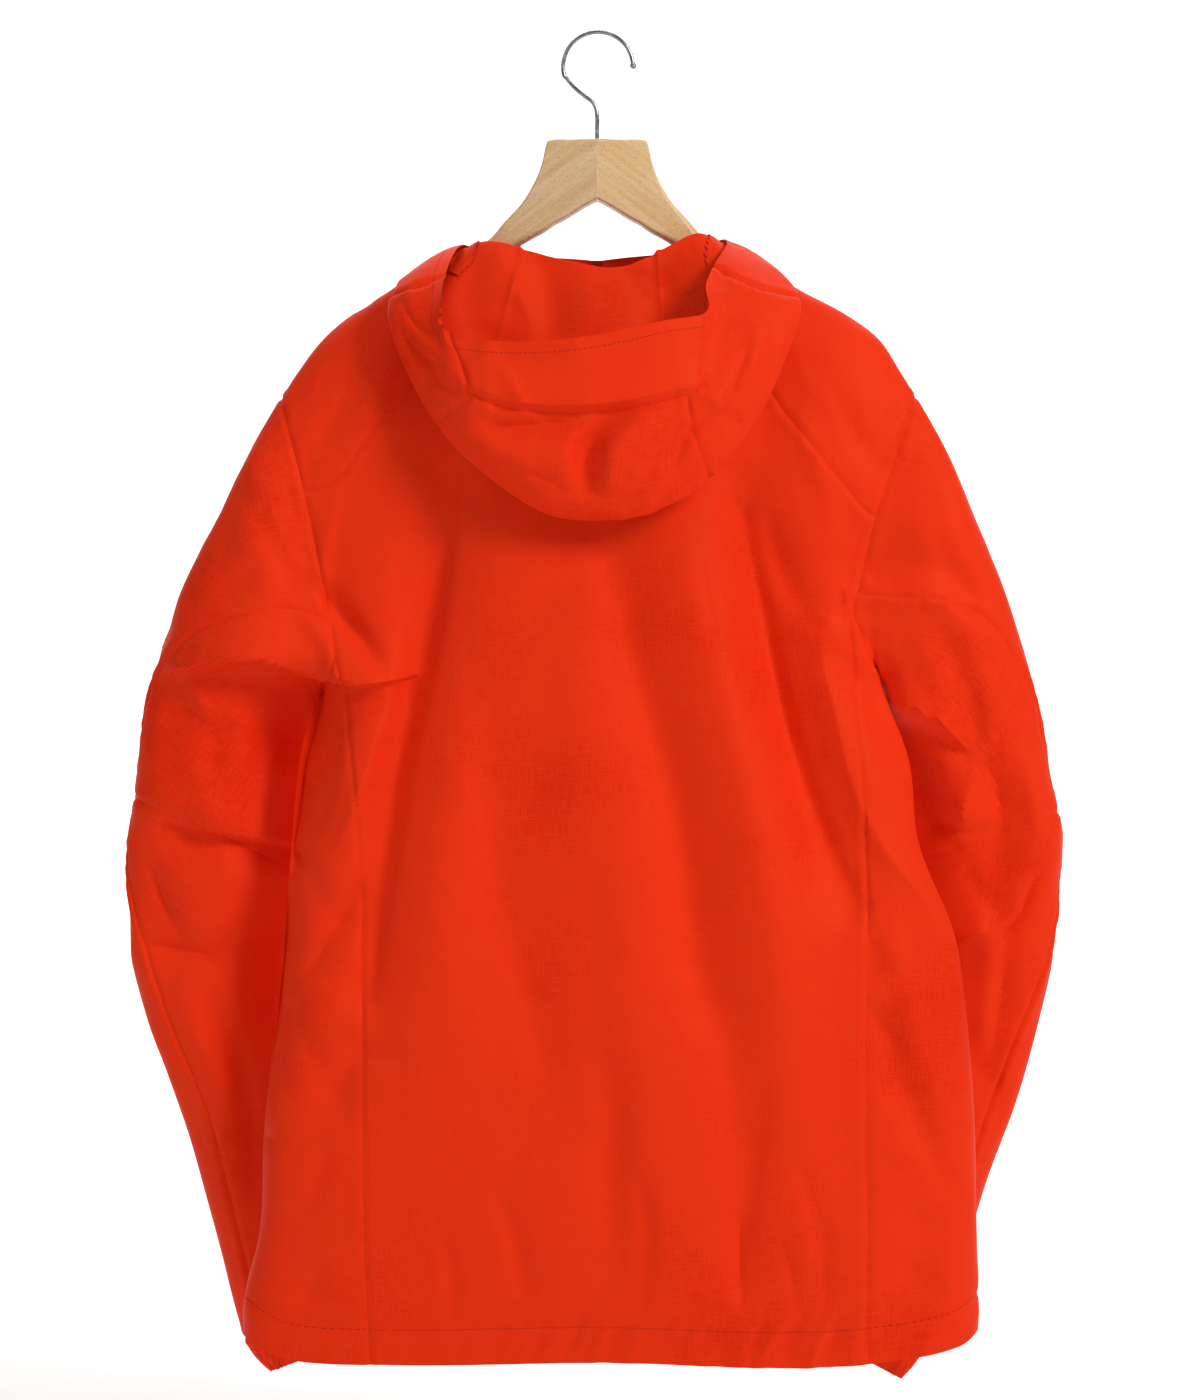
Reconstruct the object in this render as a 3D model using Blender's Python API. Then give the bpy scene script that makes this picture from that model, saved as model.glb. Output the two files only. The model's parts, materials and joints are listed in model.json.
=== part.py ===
"""A hooded windbreaker, hung by its shoulders on a wooden hanger with a wire hook.

Metres, +Z up. The origin is the inner crest of the hook, where a rail carries it. The jacket's
back faces -Y, and +X is its wearer's right. Tables are in millimetres: x across, drop below the
hook's crest, and depth along Y. The cloth is one skin of shared points, cut into panels: each
panel is a wall whose inner face follows the skin's own normals, so that walls mitre at seams.
"""

import math

import bmesh
import bpy
import numpy as np

MM = 0.001
CLOTH = 1.2 * MM  # wall of a panel
SEAM_GAP = 0.3 * MM  # between two panels, and between cloth and wood
HANGER_THICK = 20 * MM
WIRE = 3.1 * MM

YOKE_COLUMNS, YOKE_ROWS, NAPE_COLUMNS, FRONT_NECK_COLUMNS = 7, 8, 12, 4
SIDE_COLUMNS, BODY_ROWS, ARMHOLE_ROWS = 6, 16, 5
RING_ROWS = 2  # rows of cells between two rings of a sleeve
HOOD_ROWS = 2  # rows of cells between two lines of the hood
ZIP_HALF = 3.8  # half the zip's width between the fronts
SECTION_POWER = 2.3  # 2 is an ellipse, more is boxier

COLOURS = {  # linear base colour, roughness, metallic
    "shell": ((0.78, 0.035, 0.012, 1), 0.62, 0.0),
    "zip": ((0.5, 0.02, 0.01, 1), 0.5, 0.0),
    "wood": ((0.68, 0.45, 0.22, 1), 0.45, 0.0),
    "chrome": ((0.8, 0.8, 0.82, 1), 0.12, 1.0),
}


def table(columns, *rows):
    """Rows of numbers under named columns, as one array for each column."""
    numbers = np.array(rows, float)
    return {name: numbers[:, i] for i, name in enumerate(columns.split())}


# The body's sections. Edges and side seams are x; back and front are the section's depths;
# edge_depth is how far the side edges hang towards the back.
BODY = table(
    "drop left_edge left_seam right_seam right_edge back front edge_depth",
    (250, -214, -205, 192, 205, 26, 24, 0),
    (407, -204, -190, 180, 194, 42, 36, 0),
    (460, -198, -179, 182, 200, 46, 38, -4),
    (515, -211, -172, 185, 221, 49, 38, -12),
    (570, -216, -166, 187, 226, 51, 38, -15),
    (632, -221, -164, 188, 250, 52, 38, -17),
    (702, -227, -163, 186, 261, 53, 38, -18),
    (784, -236, -162, 186, 267, 54, 38, -18),
    (850, -238, -161, 187, 268, 55, 38, -18),
    (904, -250, -158, 186, 269, 55, 38, -18),
    (937, -247, -156, 188, 268, 54, 37, -18),
)
HEM = table(
    "x drop",
    (-250, 916), (-236, 930), (-217, 935), (-156, 937), (0, 935), (188, 937), (236, 931),
    (257, 926), (270, 914),
)

# The back's top edge runs along the left yoke seam, the nape and the right yoke seam. Each yoke
# goes from there over its ridge, which lies on the hanger, to the front's seam.
YOKE_SEAM_LEFT = table(
    "x depth drop",
    (-207, -25, 326), (-196, -28, 328), (-174, -31, 305), (-151, -30, 277), (-127, -26, 250),
    (-111, -21, 214), (-100, -17, 190),
)
YOKE_SEAM_RIGHT = table(
    "x depth drop",
    (195, -25, 347), (181, -28, 331), (165, -31, 313), (139, -30, 280), (120, -26, 254),
    (109, -21, 215), (100, -17, 190),
)
NAPE = table(
    "x depth drop",
    (-100, -17, 190), (-60, -23, 193), (0, -25, 194), (60, -23, 193), (100, -17, 190),
)
RIDGE_LEFT = table(
    "x depth drop",
    (-225, 0, 258), (-215, 0, 244), (-200, 0, 223), (-185, 0, 207), (-161, 0, 192),
    (-140, 0, 176), (-112, 0, 163), (-100, 0, 158),
)
RIDGE_RIGHT = table(
    "x depth drop",
    (226, 0, 257), (212, 0, 235), (199, 0, 214), (178, 0, 200), (143, 0, 181), (112, 0, 163),
    (100, 0, 157),
)
FRONT_SEAM_LEFT = table(
    "x depth drop",
    (-207, 24, 326), (-180, 28, 296), (-150, 30, 262), (-120, 29, 228), (-92, 26, 200),
)
FRONT_SEAM_RIGHT = table(
    "x depth drop",
    (195, 24, 335), (175, 28, 296), (148, 30, 262), (120, 29, 228), (92, 26, 200),
)
FRONT_NECK = table(
    "x depth drop",
    (-92, 26, 200), (-62, 32, 216), (-30, 35, 226), (0, 36, 228), (30, 35, 226), (62, 32, 216),
    (92, 26, 200),
)
UNDERARM = {"left": (-190, 407, 459), "right": (180, 411, 450)}  # corner x, corner drop, lowest drop

# Each sleeve's rings, from the shoulder down: the outer and the inner end of the ring as seen
# from behind, the depth of its middle, half its thickness, how much deeper its inner end lies,
# and where the outer seam runs on it, in degrees from the outer end towards the back.
SLEEVE_COLUMNS = "outer_x outer_drop inner_x inner_drop depth half tilt seam"
SLEEVES = {
    "left": table(
        SLEEVE_COLUMNS,
        (-247, 299, -200, 474, 5, 36, 8, 104),
        (-274, 353, -195, 500, 14, 38, 15, 78),
        (-300, 403, -196, 530, 21, 38, 15, 46),
        (-319, 466, -196, 565, 28, 36, 16, 8),
        (-332, 542, -199, 602, 34, 33, 15, -12),
        (-337, 589, -199, 636, 40, 31, 13, 4),
        (-334, 656, -197, 673, 46, 29, 10, 34),
        (-317, 721, -192, 716, 50, 28, 6, 44),
        (-295, 783, -187, 767, 52, 27, 4, 50),
        (-279, 843, -182, 820, 53, 26, 3, 50),
        (-265, 898, -177, 867, 53, 25, 2, 50),
        (-254, 933, -175, 903, 53, 24, 0, 50),
    ),
    "right": table(
        SLEEVE_COLUMNS,
        (251, 304, 201, 468, 6, 36, 9, 100),
        (272, 354, 200, 492, 13, 38, 14, 72),
        (291, 399, 204, 524, 21, 38, 16, 44),
        (312, 467, 209, 558, 28, 36, 16, 16),
        (330, 553, 218, 594, 34, 33, 16, -12),
        (334, 589, 219, 622, 40, 31, 14, -8),
        (329, 650, 216, 658, 46, 29, 12, 20),
        (318, 703, 208, 702, 51, 28, 8, 40),
        (301, 765, 198, 753, 54, 27, 5, 50),
        (280, 826, 184, 804, 56, 26, 3, 50),
        (260, 888, 173, 851, 57, 25, 2, 50),
        (242, 931, 165, 888, 57, 24, 0, 50),
    ),
}
ELBOW_RING = 5  # the seam across the elbow, counted from the armhole
UNDERARM_TURN = 235  # the seam along the inside of the arm, in the same degrees
PLAIN_ROWS = 6  # a sleeve's folds fade out over this many rows above its cuff
CUFFS = {
    "left": table(
        SLEEVE_COLUMNS,
        (-247, 945, -177, 917, 53, 21, 0, 50),
        (-236, 957, -172, 929, 53, 19, 0, 50),
    ),
    "right": table(
        SLEEVE_COLUMNS,
        (232, 948, 163, 909, 57, 21, 0, 50),
        (220, 963, 157, 926, 57, 19, 0, 50),
    ),
}
CUFF_GATHER_DEPTH = 1.2  # each other cell of the cuff is gathered in, which makes 12 gathers

# The hood's lines, each from the front of the neck over the left shoulder, the nape and the
# right shoulder: at is the place along the neck seam, in its own cells.
HOOD_COLUMNS = "at x depth drop"
HOOD_LINES = {
    "fold": (  # the stand's fold, which is the far edge of the opening
        (0, 0, 34, 200), (4, -82, 24, 188), (6, -95, 16, 160), (8, -97, 4, 157),
        (10, -93, -9, 155), (12, -78, -22, 147), (15, -40, -28, 158), (18.6, 14, -31, 169),
        (21.5, 48, -28, 154), (24, 72, -22, 141), (26, 88, -10, 151), (28, 97, 4, 156),
        (30, 95, 16, 160), (32, 82, 24, 188), (36, 0, 34, 200),
    ),
    "far_wall": (  # the far wall, half way down the bag
        (0, 0, 35, 190), (4, -80, 25, 180), (6, -96, 15, 157), (8, -108, -4, 158),
        (10, -120, -24, 180), (12, -112, -42, 205), (15, -52, -46, 242), (18, 0, -47, 252),
        (21, 50, -46, 240), (24, 110, -42, 205), (26, 119, -24, 178), (28, 108, -4, 157),
        (30, 96, 15, 157), (32, 80, 25, 180), (36, 0, 35, 190),
    ),
    "under": (  # the underside, just behind the lower outline
        (0, 0, 36, 182), (4, -79, 25, 174), (6, -96, 14, 155), (8, -121, -9, 165),
        (10, -139, -32, 191), (12, -136, -50, 222), (14, -106, -58, 280), (16, -52, -61, 324),
        (18, -6, -62, 336), (20, 50, -61, 326), (22, 98, -58, 286), (24, 130, -50, 224),
        (26, 137, -32, 190), (28, 119, -9, 164), (30, 96, 14, 155), (32, 79, 25, 174),
        (36, 0, 36, 182),
    ),
    "outline": (  # the lower outline
        (0, 0, 36, 174), (4, -78, 25, 168), (6, -94, 12, 153), (8, -126, -15, 165),
        (10, -145, -40, 190), (12, -141, -56, 222), (14, -110, -67, 279), (16, -54, -73, 330),
        (18, -6, -75, 345), (20, 50, -73, 335), (22, 101, -67, 291), (24, 134, -56, 226),
        (26, 141, -40, 190), (28, 121, -15, 163), (30, 94, 12, 152), (32, 78, 25, 168),
        (36, 0, 36, 174),
    ),
    "near_wall": (  # the near wall, between the outline and the visor's seam
        (0, 0, 36, 168), (4, -76, 24, 162), (6, -92, 10, 152), (8, -114, -18, 158),
        (10, -133, -52, 186), (12, -127, -72, 224), (14, -98, -84, 270), (16, -52, -92, 308),
        (18, -4, -94, 316), (20, 50, -92, 306), (22, 86, -84, 272), (24, 113, -72, 226),
        (26, 116, -52, 186), (28, 108, -18, 155), (30, 92, 10, 150), (32, 76, 24, 162),
        (36, 0, 36, 168),
    ),
    "visor_seam": (  # the visor's seam
        (0, 0, 35, 162), (4, -73, 23, 157), (6, -90, 9, 151), (8, -106, -21, 155),
        (10, -120, -54, 183), (12, -115, -76, 224), (14, -88, -90, 261), (16, -48, -96, 274),
        (18, 6, -97, 275), (20, 50, -94, 266), (22, 72, -87, 257), (24, 92, -74, 222),
        (26, 96, -52, 178), (28, 97, -21, 152), (30, 86, 9, 147), (32, 73, 23, 156),
        (36, 0, 35, 162),
    ),
    "rim": (  # the edge of the opening, with the visor's brim between 14 and 22
        (0, 0, 34, 157), (4, -70, 22, 153), (6, -88, 8, 150), (8, -98, -21, 153),
        (10, -106, -52, 176), (12, -107, -72, 198), (14, -103, -80, 219), (16, -56, -93, 226),
        (18, -1, -97, 222), (20, 48, -93, 211), (22, 76, -82, 205), (24, 75, -66, 187),
        (26, 81, -49, 170), (28, 92, -22, 150), (30, 85, 6, 146), (32, 70, 22, 150),
        (36, 0, 34, 157),
    ),
}
# Which of the neck seam's cells the hood's panels take; the collar has those outside its pair.
VISOR_COLUMNS, CROWN_COLUMNS, COLLAR_COLUMNS, NAPE_CENTRE = (14, 22), (14, 21), (10, 26), 18
VISOR_LINE = 6  # the visor's seam, as the neck's seam is line 0

# Folds in the back-facing cloth: a path of x and drop, how wide the fold is to the path's left
# and right (walking along it), and its height, less than nothing for a trough.
BACK_FOLDS = (
    # the cloth that hangs over under the left arm, and the hollow below it
    (((-318, 452), (-270, 446), (-215, 452), (-150, 462)), 26, 9, 13),
    (((-300, 480), (-240, 492), (-190, 500)), 24, 22, -11),
    # the same under the right arm
    (((166, 425), (192, 448), (212, 480), (222, 520)), 15, 8, 9),
    (((190, 430), (205, 462), (224, 500), (246, 560)), 9, 16, -12),
    # long troughs down the back from the hood
    (((-96, 318), (-110, 376), (-124, 456), (-137, 525), (-152, 640), (-160, 720)), 22, 26, -8),
    (((98, 318), (107, 376), (119, 437), (133, 497), (148, 556), (158, 600), (184, 622)), 26, 20, -9),
    (((-3, 343), (15, 386), (28, 456), (46, 516), (64, 586), (70, 658), (94, 716), (104, 790),
      (101, 880)), 26, 20, -7),
    (((-90, 440), (-66, 537), (-70, 597), (-58, 647), (-40, 716), (-28, 787)), 24, 26, -4),
    (((122, 347), (144, 406)), 18, 18, -5),
    (((10, 728), (12, 800), (13, 892)), 20, 20, -3),
    # soft ridges between them
    (((-60, 360), (-84, 470), (-110, 600), (-120, 760)), 34, 30, 5),
    (((50, 350), (78, 450), (104, 560), (124, 700), (130, 860)), 28, 26, 6),
    (((-20, 420), (0, 520), (20, 640), (36, 780), (40, 900)), 30, 30, 5),
    # side panels
    (((-168, 610), (-200, 661)), 14, 14, -5),
    (((-165, 719), (-205, 778)), 14, 14, -5),
    (((196, 700), (244, 820)), 14, 16, -5),
    (((238, 850), (196, 930)), 14, 14, -4),
    # sleeves
    (((-330, 570), (-270, 582), (-225, 588)), 12, 16, -5),
    (((-326, 660), (-262, 652), (-216, 640)), 16, 12, -5),
    (((255, 490), (278, 517), (286, 637)), 14, 14, -5),
    (((264, 708), (291, 771)), 12, 14, -5),
    (((250, 420), (276, 470), (300, 540)), 20, 16, 5),
    (((-290, 500), (-276, 545), (-262, 600)), 18, 14, 5),
    # yokes and shoulders
    (((-205, 300), (-240, 380), (-262, 440)), 22, 24, 4),
    (((205, 300), (238, 350), (262, 400)), 22, 22, 4),
)
FRONT_FOLDS = (
    (((-150, 320), (-120, 520), (-110, 760), (-118, 900)), 30, 28, 6),
    (((-70, 330), (-62, 560), (-70, 800)), 26, 26, -6),
    (((80, 330), (66, 560), (72, 820)), 26, 26, -6),
    (((150, 330), (132, 520), (126, 740), (136, 900)), 30, 28, 6),
    (((-210, 470), (-260, 500), (-310, 500)), 22, 18, -7),
    (((205, 470), (255, 500), (300, 510)), 18, 22, -7),
)
HOOD_FOLDS = (
    (((-88, 278), (-40, 290), (-17, 284)), 9, 14, -5),
    (((6, 276), (-6, 296), (-4, 326)), 12, 14, -6),
    (((60, 268), (52, 300), (56, 330)), 10, 10, -4),
    (((-128, 190), (-118, 240), (-96, 290)), 10, 12, -5),
    (((90, 270), (112, 232), (122, 190)), 12, 12, 5),
)

# The hanger's left half: each section's top and bottom as seen from behind, and its corner's
# radius. The arms' tops lie just under the cloth, on the ridge's own line.
HANGER_NECK = table(
    "top_x top_drop bottom_x bottom_drop round",
    (-0.15, 75, -0.15, 118, 2.5),
    (-17, 75.5, -9, 121, 2.5),
    (-30, 76, -17, 126, 2.5),
    (-36, 82, -24, 131, 2.5),
    (-39, 92, -30, 135, 2.5),
    (-44, 105, -37, 140, 3),
    (-53, 120, -46, 145, 4),
    (-65, 133, -56, 151, 5),
    (-78, 147, -67, 160, 7),
)
ARM = table(  # clear is how much lower than the cloth's inner face the arm's top lies
    "place clear deep thick",
    (-100, 0.9, 22, 15), (-125, 1.0, 22, 15), (-150, 2.2, 22, 14), (-172, 2.8, 20, 13),
    (-186, 3.4, 15, 10),
)

ARM_FLAT = 0.6  # what is left flat between an arm's rounded edges

HOOK_RADIUS = 24.8  # of the wire's centre line
HOOK_CENTRE = (0.6, -23.2)
HOOK_START, HOOK_STOP = 222.0, -4.0  # degrees, from the slanted run round to the tip
HOOK_BALL = 4.6
HOOK_STEM = ((0, -74.7), (0, -62), (0, -53), (-0.8, -49.6), (-3, -46.9), (-8, -43))
HOOK_STEPS, WIRE_SIDES, CORNER_STEPS = 22, 10, 3

# The zip is closed up to the collar's top. The slider rides on it there.
SLIDER_AT = (0, 38.1, 164)
SLIDER_SIZE = (8.4, 3.4, 11)
PULL_SIZE = (5.2, 1.6, 26)


def smooth(keys, values, at):
    """A smooth curve through values at rising keys (cubic, with slopes from the neighbours)."""
    keys = np.asarray(keys, float)
    values = np.asarray(values, float)
    at = np.asarray(at, float)
    slopes = np.gradient(values, keys, axis=0)
    i = np.clip(np.searchsorted(keys, at, side="right") - 1, 0, len(keys) - 2)
    span = keys[i + 1] - keys[i]
    t = np.clip((at - keys[i]) / span, 0, 1)
    if values.ndim > 1:
        t, span = t[..., None], span[..., None]
    first = (1 + 2 * t) * (1 - t) ** 2 * values[i] + t * (1 - t) ** 2 * span * slopes[i]
    second = t * t * (3 - 2 * t) * values[i + 1] + t * t * (t - 1) * span * slopes[i + 1]
    return first + second


def points_of(rows):
    return np.stack([rows["x"], rows["depth"], -rows["drop"]], axis=1)


def along(points, count):
    """count + 1 points at even distances along a smooth curve through the given ones."""
    points = np.asarray(points, float)
    far = np.concatenate([[0], np.cumsum(np.linalg.norm(np.diff(points, axis=0), axis=1))])
    return smooth(far, points, np.linspace(0, far[-1], count + 1))


def body_at(name, drop):
    return smooth(BODY["drop"], BODY[name], drop)


def body_depth(x, drop, back):
    """The section's depth at x: thin at the edges, which hang a little towards the back."""
    left, right = body_at("left_edge", drop), body_at("right_edge", drop)
    off = np.clip(np.abs((x - (left + right) / 2) / ((right - left) / 2)), 0, 1)
    bulge = (1 - off**SECTION_POWER) ** (1 / SECTION_POWER)
    depth = -body_at("back", drop) * bulge if back else body_at("front", drop) * bulge
    return depth + body_at("edge_depth", drop) * off**3


def side_section(drop, turn, left):
    """A point of the side panel: turn runs from -1 at the back seam to 1 at the front seam."""
    edge = body_at("left_edge" if left else "right_edge", drop)
    seam = body_at("left_seam" if left else "right_seam", drop)
    other = body_at("right_edge" if left else "left_edge", drop)
    middle, half = (edge + other) / 2, abs(edge - other) / 2
    seam_off = min(abs(seam - middle) / half, 0.985)
    most = math.acos(seam_off ** (SECTION_POWER / 2))
    off = math.cos(most * turn) ** (2 / SECTION_POWER)
    x = middle + math.copysign(off * half, edge - middle)
    return x, float(body_depth(x, drop, turn < 0))


class Skin:
    """The jacket's one skin: shared points, and cells that each belong to a panel."""

    def __init__(self):
        self.points, self.cells, self.panels = [], [], []

    def add(self, points):
        first = len(self.points)
        points = np.asarray(points, float).reshape(-1, 3)
        self.points.extend(points)
        return np.arange(first, first + len(points))

    def fill(self, grid, panel_of):
        """Adds the grid's cells. panel_of names a cell's panel by its row and column."""
        for row in range(grid.shape[0] - 1):
            for column in range(grid.shape[1] - 1):
                low, high = grid[row], grid[row + 1]
                self.cells.append((low[column], low[column + 1], high[column + 1], high[column]))
                self.panels.append(panel_of(row, column))


def body_columns():
    """How the body's closed rows are cut: back, right side, front, left side."""
    back = 2 * YOKE_COLUMNS + NAPE_COLUMNS
    front = 2 * (YOKE_COLUMNS + FRONT_NECK_COLUMNS) + 1
    return back, front


def front_places():
    """Where the front's columns lie, from its right seam (0) to its left one (1)."""
    back, front = body_columns()
    half = np.linspace(0, 1, (front - 1) // 2 + 1)
    wide = body_at("right_seam", 600) - body_at("left_seam", 600)
    zip_side = 0.5 - ZIP_HALF / wide
    return np.concatenate([half * zip_side, 1 - half[::-1] * zip_side])


def body_ring(level):
    """One closed row of the lower body, from the back's left seam round by the right side."""
    back, front = body_columns()
    points = []
    left_x, left_drop, left_low = UNDERARM["left"]
    right_x, right_drop, right_low = UNDERARM["right"]

    def drop_at(x_at_hem, top):
        return (1 - level) * float(smooth(HEM["x"], HEM["drop"], x_at_hem)) + level * top

    def across(place, is_back):
        top = left_drop + (right_drop - left_drop) * place
        hem_x = body_at("left_seam", 937) + place * (body_at("right_seam", 937) - body_at("left_seam", 937))
        drop = drop_at(hem_x, top)
        x = body_at("left_seam", drop) + place * (body_at("right_seam", drop) - body_at("left_seam", drop))
        return x, float(body_depth(x, drop, is_back)), -drop

    def side(turn, is_left):
        corner, low = (left_drop, left_low) if is_left else (right_drop, right_low)
        top = low + (corner - low) * abs(turn) ** 1.6
        edge = body_at("left_edge" if is_left else "right_edge", 920)
        seam = body_at("left_seam" if is_left else "right_seam", 937)
        drop = drop_at(edge + (seam - edge) * abs(turn) ** 2, top)
        x, depth = side_section(drop, turn, is_left)
        return x, depth, -drop

    for column in range(back):
        points.append(across(column / back, True))
    for column in range(SIDE_COLUMNS):
        points.append(side(-1 + 2 * column / SIDE_COLUMNS, False))
    for place in front_places()[:-1]:
        points.append(across(1 - place, False))
    for column in range(SIDE_COLUMNS):
        points.append(side(1 - 2 * column / SIDE_COLUMNS, True))
    return np.array(points)


def upper_sheet(bottom, top, rows):
    """Rows between the underarm's level and the yoke seam: the depth is reached soon below it."""
    sheets = []
    for row in range(1, rows):
        share = row / rows
        line = bottom + (top - bottom) * share
        line[:, 1] = top[:, 1] + (bottom[:, 1] - top[:, 1]) * (1 - share**2)
        sheets.append(line)
    return sheets


def fold_height(folds, x, drop):
    """The height of a table of folds at points given by x and drop."""
    total = np.zeros(len(x))
    spot = np.stack([x, drop], axis=1)
    for path, left, right, height in folds:
        path = along(np.array([(a, 0, b) for a, b in path]), 3 * (len(path) - 1))[:, [0, 2]]
        starts, steps = path[:-1], np.diff(path, axis=0)
        lengths = np.linalg.norm(steps, axis=1)
        before = np.concatenate([[0], np.cumsum(lengths)[:-1]])
        away = spot[:, None, :] - starts[None]
        part = np.clip((away * steps).sum(-1) / lengths**2, 0, 1)
        gap = away - part[..., None] * steps
        distance = np.linalg.norm(gap, axis=-1)
        nearest = distance.argmin(axis=1)
        pick = np.arange(len(spot))
        turn = steps[nearest, 0] * gap[pick, nearest, 1] - steps[nearest, 1] * gap[pick, nearest, 0]
        wide = np.where(turn > 0, right, left)
        run = (before[nearest] + part[pick, nearest] * lengths[nearest]) / lengths.sum()
        taper = np.sin(np.pi * np.clip(run * 0.8 + 0.1, 0, 1)) ** 0.7
        total += height * taper * np.exp(-((distance[pick, nearest] / wide) ** 2))
    return total


def folded(points, back, front):
    """Moves points by the folds: back and front say how far each point faces either way."""
    moved = np.array(points, float)
    x, drop = moved[:, 0].copy(), -moved[:, 2]
    moved[:, 1] -= np.asarray(back) * fold_height(BACK_FOLDS, x, drop)
    moved[:, 1] += np.asarray(front) * fold_height(FRONT_FOLDS, x, drop)
    return moved


def sleeve_angles(count, seam_cell, corner_cell, seam):
    """The ring's angles from the outer end over the back; cells run from the outer seam."""
    inward = corner_cell - seam_cell
    there = np.linspace(seam, UNDERARM_TURN, inward + 1)[:-1]
    home = np.linspace(UNDERARM_TURN, 360 + seam, count - inward + 1)[:-1]
    return np.roll(np.concatenate([there, home]), seam_cell)


def sleeve_rings(rows, cells, seam_cell, corner_cell):
    """Key rings of a sleeve, with cells counted from the ridge over the back, and how far each
    point of them faces the back."""
    rings, facing = [], []
    for i in range(len(rows["outer_x"])):
        outer = np.array([rows["outer_x"][i], -rows["outer_drop"][i]])
        inner = np.array([rows["inner_x"][i], -rows["inner_drop"][i]])
        angles = np.radians(sleeve_angles(cells, seam_cell, corner_cell, rows["seam"][i]))
        middle, half = (outer + inner) / 2, (outer - inner) / 2
        flat = middle + np.cos(angles)[:, None] * half
        turned = rows["half"][i] * np.sin(angles) + rows["tilt"][i] * np.cos(angles)
        depth = rows["depth"][i] - turned
        rings.append(np.stack([flat[:, 0], depth, flat[:, 1]], axis=1))
        facing.append(np.sin(angles))
    return rings, facing


def make_body(skin):
    """Adds the body below the yokes. Gives the armholes' edges and the yokes' lower seams."""
    back, front = body_columns()
    zip_cell = (front - 1) // 2
    rings = []
    for row in range(BODY_ROWS + 1):
        ring = body_ring(row / BODY_ROWS)
        cells = len(ring)
        place = np.arange(cells)
        facing_back = np.interp(place, [0, back, back + 3, cells - 3, cells], [1, 1, 0, 0, 1])
        facing_front = np.interp(place, [back + 3, back + 6, cells - 6, cells - 3], [0, 1, 1, 0])
        rings.append(skin.add(folded(ring, facing_back, facing_front)))
    grid = np.array([np.append(ring, ring[0]) for ring in rings])

    def lower_panel(row, column):
        if column < back:
            return "back"
        if column < back + SIDE_COLUMNS:
            return "side_right"
        place = column - back - SIDE_COLUMNS
        if place < front:
            return "zip_tape" if place == zip_cell else ("front_right" if place < zip_cell else "front_left")
        return "side_left"

    skin.fill(grid, lower_panel)

    top = np.concatenate([
        along(points_of(YOKE_SEAM_LEFT), YOKE_COLUMNS)[:-1],
        along(points_of(NAPE), NAPE_COLUMNS)[:-1],
        along(points_of(YOKE_SEAM_RIGHT)[::-1], YOKE_COLUMNS),
    ])
    neck = along(points_of(FRONT_NECK)[::-1], 2 * FRONT_NECK_COLUMNS + 1)
    middle = FRONT_NECK_COLUMNS
    neck[middle, 0], neck[middle + 1, 0] = ZIP_HALF, -ZIP_HALF
    front_top = np.concatenate([
        along(points_of(FRONT_SEAM_RIGHT), YOKE_COLUMNS)[:-1],
        neck,
        along(points_of(FRONT_SEAM_LEFT)[::-1], YOKE_COLUMNS)[1:],
    ])
    back_low = grid[-1][: back + 1]
    front_low = grid[-1][back + SIDE_COLUMNS : back + SIDE_COLUMNS + front + 1]
    plain_back = body_ring(1.0)[: back + 1]
    plain_front = np.roll(body_ring(1.0), -(back + SIDE_COLUMNS), axis=0)[: front + 1]

    def upper(low, plain, high, is_back):
        lines = [low]
        for line in upper_sheet(plain, high, ARMHOLE_ROWS):
            lines.append(skin.add(folded(line, is_back * 1.0, 1.0 - is_back)))
        lines.append(skin.add(folded(high, is_back * 0.5, 0.0)))
        return np.array(lines)

    back_grid = upper(back_low, plain_back, top, 1)
    front_grid = upper(front_low, plain_front, front_top, 0)
    skin.fill(back_grid, lambda row, column: "back")

    def front_panel(row, column):
        return "zip_tape" if column == zip_cell else ("front_right" if column < zip_cell else "front_left")

    skin.fill(front_grid, front_panel)
    return grid, back_grid, front_grid


def make_yoke(skin, side, back_seam, front_seam):
    """Adds a yoke between its two seams, over the ridge. Gives its grid, armhole end first."""
    ridge = along(points_of(RIDGE_LEFT if side == "left" else RIDGE_RIGHT), YOKE_COLUMNS)
    half = YOKE_ROWS // 2
    lines = [back_seam]
    points = np.array(skin.points)
    for row in range(1, YOKE_ROWS):
        seam = points[back_seam if row < half else front_seam]
        turn = math.radians(90 * abs(row - half) / half)
        line = ridge + (seam - ridge) * np.array([1 - math.cos(turn), math.sin(turn), 1 - math.cos(turn)])
        lines.append(skin.add(line))
    lines.append(front_seam)
    grid = np.array(lines)
    faces = grid[:, ::-1] if side == "right" else grid
    skin.fill(faces, lambda row, column: "yoke_" + side)
    return grid


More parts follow.
